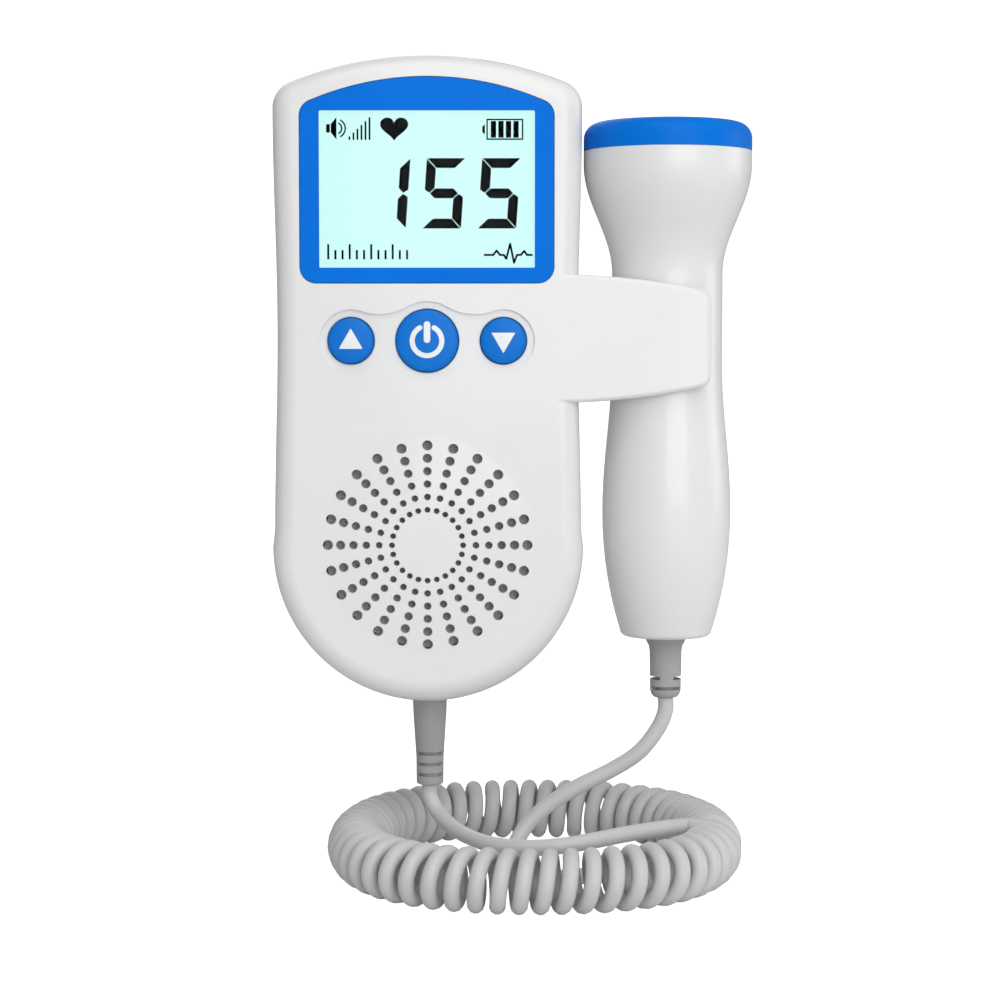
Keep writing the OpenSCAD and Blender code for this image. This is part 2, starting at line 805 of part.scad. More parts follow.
// Radius of the probe's skin at a height between its lower end and the cap
function probe_r(z) =
  z > flare_top ? head_r
  : z > neck_end ? neck_r + (head_r - neck_r)
      * (1 + cos(180 * (flare_top - z) / (flare_top - neck_end))) / 2
  : z > grip_start ? neck_r
  : z > grip_z ? neck_r + (grip_r - neck_r)
      * (1 - cos(180 * (grip_start - z) / (grip_start - grip_z))) / 2
  : grip_r - (grip_r - tail_r) * pow((grip_z - z) / (grip_z - probe_low - tail_edge), 2.1);

function probe_heights(low, high, steps) = [for (i = [0:steps]) low + (high - low) * i / steps];

// Wall of the probe as a half section, from the lower end up to the cap
function probe_section() =
  let(outer = [for (z = probe_heights(probe_low + tail_edge, cap_z, 30)) [probe_r(z), z]],
      inner = [for (z = probe_heights(probe_low + probe_wall + 1, cap_z, 24))
        [probe_r(z) - probe_wall, z]])
  concat(
    [[relief_neck + fit, probe_low]],
    [for (a = [-90:30:-30])
      arc_point([tail_r - tail_edge, probe_low + tail_edge], tail_edge, a)],
    outer,
    [for (i = [len(inner) - 1:-1:0]) inner[i]],
    [[inner[0].x - 1, probe_low + probe_wall], [relief_neck + fit, probe_low + probe_wall]]);

module probe_half() {
  translate([probe_x, probe_y, 0]) rotate_extrude(angle = 180) polygon(probe_section());
}

module probe_rear_shell() {
  color([0.9, 0.9, 0.9]) probe_half();
}

module probe_front_shell() {
  color([0.9, 0.9, 0.9]) to_rear() probe_half();
}

// Blue cap with a rounded edge, a spigot inside the head and a seat for the lens
module probe_cap() {
  inner_r = head_r - probe_wall;
  edge_z = probe_top - cap_rise - cap_edge;
  color([0.02, 0.47, 0.86]) translate([probe_x, probe_y, 0]) rotate_extrude()
    polygon(concat(
      [[inner_r - 1.6, cap_z - 2.5], [inner_r - fit, cap_z - 2.5], [inner_r - fit, cap_z],
       [head_r, cap_z]],
      [for (a = [0:15:75]) arc_point([head_r - cap_edge, edge_z], cap_edge, a)],
      [[head_r - cap_edge, edge_z + cap_edge], [lens_r + fit, lens_top(lens_r + fit)],
       [lens_r + fit, lens_z], [inner_r - 1.6, lens_z]]));
}

// Height of the gently domed top at a distance from the axis
function lens_top(r) = probe_top - cap_rise * pow(r / (head_r - cap_edge), 2);

module acoustic_lens() {
  color([0.55, 0.6, 0.65]) translate([probe_x, probe_y, 0]) rotate_extrude()
    polygon(concat([[0, lens_z], [lens_r, lens_z]],
      [for (i = [0:5]) let(r = lens_r * (1 - i / 5)) [r, lens_top(r)]]));
}

module crystal_carrier() {
  color([0.3, 0.3, 0.32]) translate([probe_x, probe_y, carrier_top - 1])
    cylinder(r = head_r - probe_wall - 1.8, h = 1);
}

module crystal_half() {
  intersection() {
    translate([probe_x, probe_y, carrier_top]) cylinder(r = crystal_r, h = crystal_t);
    block([probe_x + 0.4, probe_y - crystal_r - 1, carrier_top - 1],
      [probe_x + crystal_r + 1, probe_y + crystal_r + 1, carrier_top + crystal_t + 1]);
  }
}

module transmit_crystal() {
  color([0.8, 0.75, 0.6]) crystal_half();
}

module receive_crystal() {
  color([0.8, 0.75, 0.6]) translate([2 * probe_x, 0, 0]) mirror([1, 0, 0]) crystal_half();
}

module probe_circuit_board() {
  half = neck_r - probe_wall - 0.35;
  color([0.1, 0.4, 0.2]) block([probe_x - half, probe_y - probe_board_t / 2, probe_board_low],
    [probe_x + half, probe_y + probe_board_t / 2, probe_board_high]);
}

module probe_wires() {
  low = probe_board_high - solder_up;
  color([0.7, 0.1, 0.1]) for (x = [-wire_x, wire_x])
    translate([probe_x + x, probe_y - probe_board_t / 2 - wire_r, low])
      cylinder(r = wire_r, h = carrier_top - 1 - low, $fn = 16);
}

// ---------------------------------------------------------------- lead

// A strain relief hanging from z = 0: collar, neck, body and end rings
module strain_relief(wall_t, length, top_r, end_r, straight) {
  ring = 1.3;
  gap = 0.9;
  rotate_extrude() polygon(concat(
    [[0, wall_t + fit + collar_t], [collar_r, wall_t + fit + collar_t],
     [collar_r, wall_t + fit], [relief_neck, wall_t + fit], [relief_neck, -0.15],
     [top_r, -0.15], [end_r + (top_r - end_r) * straight, -length * 0.2],
     [end_r, -length + 3 * ring + 3 * gap]],
    [for (i = [2:-1:0]) let(z = -length + i * (ring + gap))
      each [[end_r - 0.8, z + ring + gap], [end_r - 0.8, z + ring + 0.01],
            [end_r, z + ring], [end_r, z]]],
    [[0, -length]]));
}

module unit_strain_relief() {
  color([0.58, 0.58, 0.58]) translate([0, probe_y, unit_low])
    strain_relief(wall + collar_rise, relief_l, 3.7, 2.9, 0.85);
}

module probe_strain_relief() {
  color([0.62, 0.62, 0.62]) translate([probe_x, probe_y, probe_low])
    strain_relief(probe_wall, probe_relief_l, 4.5, 3, 0.3);
}

// Vector helpers
function unit_vector(v) = v / norm(v);
function square_to(n, t) = unit_vector(n - (n * t) * t);

// Where a smooth curve through the points runs between point i and the next
function curve_point(p, i, t) =
  let(a = p[max(i - 1, 0)], b = p[i], c = p[i + 1], d = p[min(i + 2, len(p) - 1)])
  0.5 * (2 * b + (c - a) * t + (2 * a - 5 * b + 4 * c - d) * t * t
    + (3 * b - a - 3 * c + d) * t * t * t);

function smooth_path(p, steps) = concat(
  [for (i = [0:len(p) - 2], k = [0:steps - 1]) curve_point(p, i, k / steps)],
  [p[len(p) - 1]]);

function directions(p) = [for (i = [0:len(p) - 1])
  unit_vector(p[min(i + 1, len(p) - 1)] - p[max(i - 1, 0)])];

// Sideways directions carried along a path without twist
function carried(t, n, i = 0) = i >= len(t) ? []
  : let(here = square_to(n, t[i])) concat([here], carried(t, here, i + 1));

function tube_rings(p, t, n, sides, r) = [for (i = [0:len(p) - 1])
  let(b = cross(t[i], n[i]))
  [for (k = [0:sides - 1]) p[i] + r * (cos(360 * k / sides) * n[i] + sin(360 * k / sides) * b)]];

// The ring that the curls follow: distance from its middle and arc length
// along the inside of the curls, both at the angle turn
function ring_radius(turn) = ring_r * (1 + ring_bulge * (1 - cos(4 * turn)) / 2);
ring_rate = ring_r * (1 + ring_bulge / 2) - curl_r;
ring_wave = ring_r * ring_bulge / 8 - 2 * ring_bulge * curl_r;
function inner_arc(turn) = ring_rate * turn * PI / 180 - ring_wave * sin(4 * turn);
function turn_at(arc, guess, rounds = 5) = rounds == 0 ? guess
  : turn_at(arc, (arc + ring_wave * sin(4 * guess)) / ring_rate * 180 / PI, rounds - 1);

curl_pitch = cord_d + curl_gap;
arc_from = inner_arc(ring_from);

// Point on the lead after so many curls. The ring runs clockwise seen from
// above, and the curls are left-handed. They start at the ring's top.
function curl_turn(n) = let(arc = arc_from - n * curl_pitch)
  turn_at(arc, arc / ring_rate * 180 / PI);
function ring_normal(turn) =
  let(r = ring_radius(turn), slope = 2 * ring_r * ring_bulge * sin(4 * turn))
  unit_vector([r * cos(turn) + slope * sin(turn), r * sin(turn) - slope * cos(turn), 0]);
function curl_out(n) = let(turn = curl_turn(n), phase = 90 - 360 * n)
  cos(phase) * ring_normal(turn) + [0, 0, sin(phase)];
function curl_point(n) = let(turn = curl_turn(n))
  ring_mid + ring_radius(turn) * [cos(turn), sin(turn), 0] + curl_r * curl_out(n);
function curl_direction(n) = unit_vector(curl_point(n + 0.002) - curl_point(n - 0.002));

curl_count = curls + 0.5;
coil_steps = [for (k = [0:curl_count * curl_steps]) k / curl_steps];
coil_start = curl_point(0) - cord_d * curl_direction(0);
coil_end = curl_point(curl_count) + cord_d * curl_direction(curl_count);
coil_path = concat([coil_start], [for (n = coil_steps) curl_point(n)], [coil_end]);
coil_ways = concat([curl_direction(0)], [for (n = coil_steps) curl_direction(n)],
  [curl_direction(curl_count)]);
coil_sides_out = concat([square_to(curl_out(0), curl_direction(0))],
  [for (n = coil_steps) square_to(curl_out(n), curl_direction(n))],
  [square_to(curl_out(curl_count), curl_direction(curl_count))]);

// Least gap between a curl and the next, measured on points along the lead
least_gap = min([for (k = [0:curl_steps * curls - 8], d = [-0.06:0.02:0.06])
  norm(curl_point(k / curl_steps + 1 + d) - curl_point(k / curl_steps))]) - cord_d;
echo("least gap between curls", least_gap);
echo("length of the curly part", curl_count * norm([2 * PI * curl_r, curl_pitch]));

module cord_coil() {
  color([0.8, 0.8, 0.8]) skin(tube_rings(coil_path, coil_ways, coil_sides_out, curl_sides, cord_r));
}

// A plain stretch of lead through its points, square to both ends
module lead(points, way_in, way_out) {
  p = smooth_path(points, lead_steps);
  middle = directions(p);
  t = [for (i = [0:len(p) - 1]) i == 0 ? way_in : i == len(p) - 1 ? way_out : middle[i]];
  skin(tube_rings(p, t, carried(t, [0, 1, 0]), lead_sides, cord_r));
}

down = [0, 0, -1];

module cord_unit_lead() {
  way = curl_direction(0);
  color([0.82, 0.82, 0.82]) lead(concat([[0, probe_y, relief_end]], unit_route,
    [coil_start - 3 * way, coil_start]), down, way);
}

module cord_probe_lead() {
  way = -curl_direction(curl_count);
  color([0.82, 0.82, 0.82]) lead(concat([[probe_x, probe_y, probe_relief_end]], probe_route,
    [coil_end - 3 * way, coil_end]), down, way);
}

// ---------------------------------------------------------------- assembly

front_shell();
rear_shell();
battery_door();
display_bezel();
display_window();
lcd_panel();
lcd_backlight();
power_button();
volume_up_button();
volume_down_button();
key_switches();
main_circuit_board();
board_screws();
shell_screws();
speaker_cloth();
speaker_frame();
speaker_cone();
speaker_magnet();
speaker_wires();
headphone_socket();
battery_cell_left();
battery_cell_right();
battery_spring_contacts();
battery_plate_contacts();
battery_wires();
probe_front_shell();
probe_rear_shell();
probe_cap();
acoustic_lens();
crystal_carrier();
transmit_crystal();
receive_crystal();
probe_circuit_board();
probe_wires();
unit_strain_relief();
cord_unit_lead();
cord_coil();
cord_probe_lead();
probe_strain_relief();
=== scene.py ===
# %% [markdown]
# A fetal doppler monitor, dressed in Blender. The main unit has a lit display,
# three keys and a speaker grille. A probe rests in a clip on its side, and a
# curly lead joins the two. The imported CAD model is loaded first: it fixes every
# size and place, and the pieces made here lie on it.

# %% Load the frame
import math

import bmesh
import bpy
from mathutils import Matrix, Vector


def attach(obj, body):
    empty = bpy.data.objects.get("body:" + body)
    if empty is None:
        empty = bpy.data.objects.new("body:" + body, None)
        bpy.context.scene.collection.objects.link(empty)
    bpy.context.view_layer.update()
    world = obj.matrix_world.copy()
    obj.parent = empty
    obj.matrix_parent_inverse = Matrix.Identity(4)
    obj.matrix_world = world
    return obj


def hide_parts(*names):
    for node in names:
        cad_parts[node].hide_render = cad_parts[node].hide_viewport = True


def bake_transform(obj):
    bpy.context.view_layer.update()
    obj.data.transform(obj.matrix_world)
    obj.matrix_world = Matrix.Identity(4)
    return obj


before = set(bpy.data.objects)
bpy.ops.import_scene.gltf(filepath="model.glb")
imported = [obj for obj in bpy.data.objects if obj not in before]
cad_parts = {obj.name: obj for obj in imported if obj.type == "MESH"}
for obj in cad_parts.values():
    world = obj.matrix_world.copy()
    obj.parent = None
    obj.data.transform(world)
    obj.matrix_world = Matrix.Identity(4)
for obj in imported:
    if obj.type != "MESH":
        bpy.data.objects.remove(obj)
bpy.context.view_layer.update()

# %% [markdown]
# The camera stands half a metre in front of the unit, a little right of its
# middle, and looks down by less than four degrees, as the photograph does.

# %% Camera
def add_object(name, data):
    """An object in the scene."""
    ob = bpy.data.objects.new(name, data)
    bpy.context.scene.collection.objects.link(ob)
    return ob


camera = add_object("camera", bpy.data.cameras.new("camera"))
camera.data.sensor_width = 36
camera.data.lens = 85.47
camera.location = (0.0151, -0.526, -0.00793)
camera.rotation_euler = (math.radians(86.33), 0, 0)
camera.data.clip_start, camera.data.clip_end = 0.01, 20
bpy.context.scene.camera = camera
print("camera at", tuple(round(c, 4) for c in camera.location))

# %% [markdown]
# Every new piece is modelled in millimetres, like the drawing of the real part,
# and brought to metres at the end. Small helpers turn a bmesh into an object,
# give it smooth shading with sharp creases, and hand it to its moving body.

# %% From bmesh to finished piece
MM = 0.001


def to_object(name, bm):
    """A mesh object with its faces outwards, still in millimetres."""
    bmesh.ops.recalc_face_normals(bm, faces=bm.faces)
    mesh = bpy.data.meshes.new(name)
    bm.to_mesh(mesh)
    bm.free()
    return add_object(name, mesh)


def evaluated(ob):
    """The mesh that an object shows, with its modifiers applied."""
    bpy.context.view_layer.update()
    return bpy.data.meshes.new_from_object(
        ob.evaluated_get(bpy.context.evaluated_depsgraph_get()))


def verts_of(geom):
    """The vertices among what an operator gives back."""
    return [g for g in geom if isinstance(g, bmesh.types.BMVert)]


def fill_holes(bm):
    """Closes every open loop of edges with a face."""
    bmesh.ops.holes_fill(bm, edges=[e for e in bm.edges if e.is_boundary])


def to_metres(mesh, dist=6e-4, crease=35):
    """Closes the slivers that cuts leave, brings a mesh to metres and shades it."""
    bm = bmesh.new()
    bm.from_mesh(mesh)
    bmesh.ops.remove_doubles(bm, verts=bm.verts, dist=dist)
    bmesh.ops.dissolve_degenerate(bm, edges=bm.edges, dist=dist)
    bmesh.ops.delete(bm, geom=[e for e in bm.edges if not e.link_faces], context="EDGES")
    fill_holes(bm)
    bm.to_mesh(mesh)
    bm.free()
    mesh.transform(Matrix.Scale(MM, 4))
    mesh.shade_smooth()
    mesh.set_sharp_from_angle(angle=math.radians(crease))


def finish_piece(piece, body, replaced=None):
    """Brings a piece to metres and lets it ride on its body."""
    to_metres(piece.data)
    piece.modifiers.new("even_shading", "WEIGHTED_NORMAL").keep_sharp = True
    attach(piece, body)
    if replaced:
        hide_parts(replaced)
    print(piece.name, len(piece.data.polygons), "faces")
    return piece


# %% [markdown]
# The lead is one cord: a plain stretch from under the unit, 53 and a half curls
# that lie in a ring, and a plain stretch up to the probe. The route is the CAD
# model's own, point for point, only sampled more finely. Catmull-Rom curves
# join the points of the plain stretches, and a helix bent round a rounded ring
# gives the curls.

# %% Route of the plain stretches
cord_d = 3.4
unit_exit = Vector((0, -18.5, -101.8))
probe_exit = Vector((50.7, -18.5, -83.0))
unit_route = [(0, -18.5, -104.5), (2, -20, -108), (6, -26, -110.5), (12, -34, -111.5),
              (19, -38, -111.7), (27, -39, -111.2), (35, -37, -110.3), (43, -32, -109.8)]
probe_route = [(50.7, -18.5, -86), (49, -18.5, -90), (45, -18.5, -95), (39, -18, -99),
               (32, -18, -102.5), (25, -18, -107), (20, -19, -112), (18, -23, -117),
               (22, -29, -119.5), (31, -30, -119.6), (41, -22, -119.7)]


def smooth_route(points, steps=10):
    """Points along a Catmull-Rom curve through the given ones."""
    p = [Vector(q) for q in points]
    out = []
    for i in range(len(p) - 1):
        a, b, c, d = p[max(i - 1, 0)], p[i], p[i + 1], p[min(i + 2, len(p) - 1)]
        for k in range(steps):
            t = k / steps
            out.append((2 * b + (c - a) * t + (2 * a - 5 * b + 4 * c - d) * t**2
                        + (3 * b - a - 3 * c + d) * t**3) / 2)
    return out + [p[-1]]


# %% Route of the curls
curl_r, curl_gap, curls = 5, 0.45, 53.5
ring_r, ring_bulge, ring_from = 38, 0.043, math.radians(-14)
ring_mid = Vector((22.6, -18, -114.7))
ring_rate = ring_r * (1 + ring_bulge / 2) - curl_r
ring_wave = ring_r * ring_bulge / 8 - 2 * ring_bulge * curl_r


def curl_point(n):
    """Where the middle of the lead is after n curls."""
    arc = ring_rate * ring_from - ring_wave * math.sin(4 * ring_from) - n * (cord_d + curl_gap)
    turn = arc / ring_rate
    for _ in range(5):
        turn = (arc + ring_wave * math.sin(4 * turn)) / ring_rate
    r = ring_r * (1 + ring_bulge * (1 - math.cos(4 * turn)) / 2)
    slope = 2 * ring_r * ring_bulge * math.sin(4 * turn)
    out = Vector((r * math.cos(turn) + slope * math.sin(turn),
                  r * math.sin(turn) - slope * math.cos(turn), 0)).normalized()
    phase = math.radians(90 - 360 * n)
    ring = Vector((math.cos(turn), math.sin(turn), 0)) * r
    return ring_mid + ring + curl_r * (out * math.cos(phase) + Vector((0, 0, math.sin(phase))))


way_in = (curl_point(0.002) - curl_point(-0.002)).normalized()
way_out = (curl_point(curls + 0.002) - curl_point(curls - 0.002)).normalized()
coil_start = curl_point(0) - cord_d * way_in
coil_end = curl_point(curls) + cord_d * way_out
curl_steps = 24
coil_route = [curl_point(k / curl_steps) for k in range(int(curls * curl_steps) + 1)]
lead_route = (smooth_route([unit_exit, *unit_route, coil_start - 3 * way_in, coil_start])
              + coil_route
              + smooth_route([probe_exit, *probe_route, coil_end + 3 * way_out, coil_end])[::-1])
lead_length = sum((b - a).length for a, b in zip(lead_route, lead_route[1:])) * MM
print(len(lead_route), "points on the lead's route")

# %% [markdown]
# A curve with a round bevel sweeps the tube. It is then made a mesh.

# %% Sweep the lead
lead_curve = bpy.data.curves.new("lead_line", "CURVE")
lead_curve.dimensions = "3D"
lead_curve.twist_mode = "MINIMUM"
lead_curve.bevel_depth = cord_d / 2
lead_curve.bevel_resolution = 4
lead_curve.use_fill_caps = True
line = lead_curve.splines.new("POLY")
line.points.add(len(lead_route) - 1)
for point, place in zip(line.points, lead_route):
    point.co = (*place, 1)
lead_sweep = add_object("lead_sweep", lead_curve)
lead = add_object("curly_lead", evaluated(lead_sweep))
bpy.data.objects.remove(lead_sweep)
to_metres(lead.data, 1e-3, 60)
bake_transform(lead)
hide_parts("cord_unit_lead", "cord_coil", "cord_probe_lead")
print("lead", len(lead.data.polygons), "faces")

# %% [markdown]
# The unit's two shells are mouldings of one outline, with a round foot, slightly
# drawn-in sides and an arched crown. The outline is drawn once as a chain of arcs,
# each made by spinning a point, and mirrored. Grown or shrunk by an inset, the
# same chain gives the outer skin, the inner skin and the bezel's seat.

# %% Arcs and outlines
def spin_arc(bm, vert, centre, degrees, steps):
    """Turns a point counter-clockwise, seen from the front, and gives where it ends."""
    done = bmesh.ops.spin(bm, geom=[vert], cent=(centre[0], vert.co.y, centre[1]),
                          axis=(0, -1, 0), angle=math.radians(degrees), steps=steps)
    return verts_of(done["geom_last"])[0]


def draw_to(bm, vert, place):
    """A straight edge from a point to a place; gives the new end."""
    end = bmesh.ops.extrude_vert_indiv(bm, verts=[vert])["verts"][0]
    end.co = place
    return end


def outline_face(bm, y, shape, inset=0):
    """A face at depth y whose outline has a round foot and an arched crown."""
    low, foot, foot_r, half, top, arch, corner, waist = shape
    crown_z, corner_x = top - arch, half - corner
    corner_z = crown_z + math.sqrt((arch - corner)**2 - corner_x**2)
    turn = math.degrees(math.acos(corner_x / (arch - corner)))
    side_z = low + foot_r
    vert = bm.verts.new((0, y, low + inset))
    if foot > foot_r:
        vert = draw_to(bm, vert, (foot - foot_r, y, low + inset))
    vert = spin_arc(bm, vert, (foot - foot_r, side_z), 90, 40)
    for k in range(1, 25):
        drawn_in = waist * math.sin(math.pi * k / 24)**2
        vert = draw_to(bm, vert, (half - inset - drawn_in, y, side_z + (corner_z - side_z) * k / 24))
    vert = spin_arc(bm, vert, (corner_x, corner_z), turn, 14)
    spin_arc(bm, vert, (0, crown_z), 90 - turn, 24)
    bmesh.ops.mirror(bm, geom=bm.verts[:] + bm.edges[:], axis="X", merge_dist=1e-4)
    bmesh.ops.remove_doubles(bm, verts=bm.verts, dist=1e-4)
    face = bmesh.ops.contextual_create(bm, geom=bm.edges[:])["faces"][0]
    if face.normal.y > 0:
        face.normal_flip()
    return face


def push_out(bm, face, depth):
    """Extrudes a face along Y to a closed block and gives the face's new place."""
    out = bmesh.ops.extrude_face_region(bm, geom=[face])["geom"]
    bmesh.ops.translate(bm, vec=(0, depth, 0), verts=verts_of(out))
    bmesh.ops.recalc_face_normals(bm, faces=bm.faces)
    return [g for g in out if isinstance(g, bmesh.types.BMFace)][0]


def round_edges(bm, edges, radius, segments):
    """A rounding of the given radius along the edges."""
    bmesh.ops.bevel(bm, geom=list(edges), offset=radius, offset_type="OFFSET", affect="EDGES",
                    segments=segments, profile=0.5, clamp_overlap=False, material=-1)


def span(edge, axis):
    """How far an edge reaches along x, y or z."""
    first, last = (getattr(v.co, axis) for v in edge.verts)
    return abs(first - last)


def rim_of(bm, y):
    """The sharp edges that lie at one depth."""
    return [e for e in bm.edges if all(abs(v.co.y - y) < 1e-4 for v in e.verts)
            and e.calc_face_angle(0) > 0.5]


# %% The unit's sizes
unit_shape = (-82.3, 32.6, 32.6, 32.2, 52.7, 77.5, 5.8, 0.8)
bezel_shape = (5.4, 26.3, 3.4, 26.3, 47.8, 62, 3.4, 0)
front_y, part_y, wall, edge_r = -33.0, -18.5, 2.2, 4.6
key_z, speaker_z, window_z = -6.5, -49.0, 24.75
probe_x, clip_inner, seam = 50.7, 12.37, 0.14
unit_low, probe_axis = unit_shape[0], (probe_x, part_y, 0)


def body_block(name, face_y, rim_y, inset=0):
    """Half of the unit's body as one closed block, rounded at its face."""
    bm = bmesh.new()
    face = push_out(bm, outline_face(bm, rim_y, unit_shape, inset), face_y - rim_y)
    round_edges(bm, face.edges, edge_r - inset, 4 if inset else 10)
    if not inset:
        round_edges(bm, rim_of(bm, rim_y), seam, 1)
    return to_object(name, bm)


# %% [markdown]
# Holes, seats and hollows are cut with solids, as an injection mould's cores
# do it. A cutter is modelled like any other piece and then used up.

# %% Cutting and joining
def carve(piece, tool, how="DIFFERENCE"):
    """Cuts the tool out of the piece, or joins it, and uses the tool up."""
    change = piece.modifiers.new(how.lower(), "BOOLEAN")
    change.operation, change.object, change.solver = how, tool, "EXACT"
    made = evaluated(piece)
    piece.modifiers.clear()
    piece.data = made
    bpy.data.objects.remove(tool)
    return piece


def join(piece, tool):
    """Joins the tool to the piece."""
    return carve(piece, tool, "UNION")


def turned(bm, profile, centre, axis, steps, degrees=360, start=0):
    """A solid of revolution from (radius, height) points, added to the bmesh."""
    centre, up = Vector(centre), Vector([float(a == axis) for a in "XYZ"])
    side = Matrix.Rotation(math.radians(start), 3, up) @ Vector(
        (0, 0, 1) if axis == "X" else (1, 0, 0))
    verts = [bm.verts.new(centre + side * r + up * h) for r, h in profile]
    edges = [bm.edges.new(pair) for pair in zip(verts, verts[1:])]
    bmesh.ops.spin(bm, geom=verts + edges, cent=centre, axis=up,
                   angle=math.radians(degrees), steps=steps, use_merge=degrees == 360)
    first = set(verts)
    doubled = [v for v in bm.verts if v in first or (v.co - centre).cross(up).length < 1e-5]
    bmesh.ops.remove_doubles(bm, verts=doubled, dist=1e-5)


def round_tool(name, profile, centre, axis="Z", steps=64, degrees=360, start=0):
    """A turned cutter or insert as an object; its profile ends on the axis or is closed."""
    bm = bmesh.new()
    turned(bm, profile, centre, axis, steps, degrees, start)
    if profile[0] == profile[-1]:
        bmesh.ops.remove_doubles(bm, verts=bm.verts, dist=1e-4)
    if degrees < 360:
        fill_holes(bm)
    return to_object(name, bm)


def rod(name, place, r, low, high, axis="Y", steps=32):
    """A plain cylinder along an axis."""
    return round_tool(name, [(0, low), (r, low), (r, high), (0, high)], place, axis, steps)


def band(inner, outer, low, high):
    """The closed profile of a ring with a square section."""
    return [(inner, low), (outer, low), (outer, high), (inner, high), (inner, low)]


def arc_points(x, z, r, degrees):
    """Points round (x, z), one at each angle."""
    return [(x + r * math.cos(math.radians(a)), z + r * math.sin(math.radians(a)))
            for a in degrees]


def block(bm, size, middle):
    """A plain block, added to the bmesh; gives its vertices."""
    made = bmesh.ops.create_cube(bm, size=1)["verts"]
    bmesh.ops.scale(bm, vec=size, verts=made)
    bmesh.ops.translate(bm, vec=middle, verts=made)
    return made


def pad(name, low, high, corner=0, edge=0):
    """A block with round corners, seen from the front, and rounded edges round its faces."""
    bm = bmesh.new()
    low, high = Vector(low), Vector(high)
    block(bm, high - low, (low + high) / 2)
    if corner:
        round_edges(bm, [e for e in bm.edges if span(e, "y") > 1e-3], corner, 6)
    if edge:
        round_edges(bm, [e for e in bm.edges if span(e, "y") < 1e-5], edge, 3)
    return to_object(name, bm)

# %% [markdown]
# The clip is part of the two shells: a saddle on the unit's right side and two
# arms round the probe's neck. The front arm is flush with the unit's front. Its
# outline is a block whose top and bottom edges curve in towards the tip, and the
# tip bends back a little round the probe.

# %% The clip's two halves
clip_root, clip_reach, clip_top, clip_low = 26.0, 59.0, 7.3, -19.4
clip_fall, clip_rise, clip_bend = 3.6, 3.7, 0.017
saddle_wall = 2.25


def clip_block(name, face_y, inset=0):
    """One arm with its half of the saddle; an inset one is a plain core without roundings."""
    side = math.copysign(1, face_y - part_y)
    start_y = part_y - 2 * side if inset else part_y
    bm = bmesh.new()
    corners = [(clip_root, clip_low + inset), (clip_reach, clip_low + inset),
               (clip_reach, clip_top - inset), (clip_root, clip_top - inset)]
    bm.faces.new([bm.verts.new((x, start_y, z)) for x, z in corners])
    bmesh.ops.subdivide_edges(bm, edges=[e for e in bm.edges if span(e, "z") < 0.1], cuts=11)
    for v in bm.verts:
        share = ((v.co.x - clip_root) / (clip_reach - clip_root))**2
        v.co.z += clip_rise * share if v.co.z < 0 else -clip_fall * share
    face = bmesh.ops.dissolve_faces(bm, faces=bm.faces)["region"][0]
    push_out(bm, face, face_y - start_y)
    if inset:
        return to_object(name, bm)
    round_edges(bm, [e for e in bm.edges if span(e, "y") > 1
                     and e.verts[0].co.x > clip_reach - 0.1], 2, 6)
    round_edges(bm, rim_of(bm, face_y), 0.9, 5)
    round_edges(bm, rim_of(bm, part_y), seam, 1)
    for x in (probe_x, 52, 53.2, 54.4, 55.6, 56.8, 57.8):
        bmesh.ops.bisect_plane(bm, geom=bm.verts[:] + bm.edges[:] + bm.faces[:],
                               plane_co=(x, 0, 0), plane_no=(1, 0, 0))
    for v in bm.verts:
        if v.co.x > probe_x and abs(v.co.y - part_y) > 2:
            v.co.y -= side * clip_bend * (v.co.x - probe_x)**2
    return to_object(name, bm)


def neck_round(name, r):
    """A cylinder round the probe's neck that is longer than the clip is high."""
    return rod(name, probe_axis, r, clip_low - 2, clip_top + 2, "Z", 96)


def saddle_hollow(name, face_y):
    """The hollow behind the saddle, open to the inside of the unit."""
    hollow = clip_block(name, face_y, saddle_wall)
    carve(hollow, neck_round("neck_wall", clip_inner + wall))
    return carve(hollow, pad("arm_side", (probe_x - 4, front_y - 4, clip_low - 4),
                             (clip_reach + 4, 4, clip_top + 4)))


def probe_channel():
    """The space that the probe's neck needs in the clip, open to the right."""
    return join(neck_round("neck_space", clip_inner),
                pad("channel_mouth", (probe_x, part_y - clip_inner, clip_low - 1),
                    (clip_reach + 3, part_y + clip_inner, clip_top + 1)))


# %% [markdown]
# The speaker grille sits on a shallow dome: 24 spokes of six holes that grow
# from 1.2 to 2.1 mm towards the rim. Each hole is a turned cutter with a small
# countersink, so its edge catches a thin line of light.

# %% Dome and grille
dome_r, dome_rise = 22.8, 0.6
dome = round_tool("dome", [(0, front_y + 1.1), (dome_r, front_y + 1.1), (dome_r, front_y)]
                  + [(dome_r * math.sqrt(1 - k / 12), front_y - dome_rise * k / 12)
                     for k in range(1, 13)], (0, 0, speaker_z), "Y", 96)

holes_bm = bmesh.new()
for ring in range(6):
    from_middle, hole_r = 7.4 + 2.68 * ring, 0.6 + 0.09 * ring
    mouth = front_y - dome_rise * (1 - (from_middle / dome_r)**2)
    hole_bm = bmesh.new()
    turned(hole_bm, [(0, front_y + wall + 1), (hole_r, front_y + wall + 1),
                     (hole_r, mouth + 0.12), (hole_r + 0.2, mouth - 0.08),
                     (hole_r + 0.2, mouth - 0.8), (0, mouth - 0.8)],
           (from_middle, 0, speaker_z), "Y", 16)
    bmesh.ops.spin(hole_bm, geom=hole_bm.faces[:] + hole_bm.edges[:] + hole_bm.verts[:],
                   cent=(0, 0, speaker_z), axis=(0, 1, 0), angle=math.tau * 23 / 24,
                   steps=23, use_duplicate=True)
    ring_mesh = bpy.data.meshes.new("grille_ring")
    hole_bm.to_mesh(ring_mesh)
    hole_bm.free()
    holes_bm.from_mesh(ring_mesh)
    bpy.data.meshes.remove(ring_mesh)
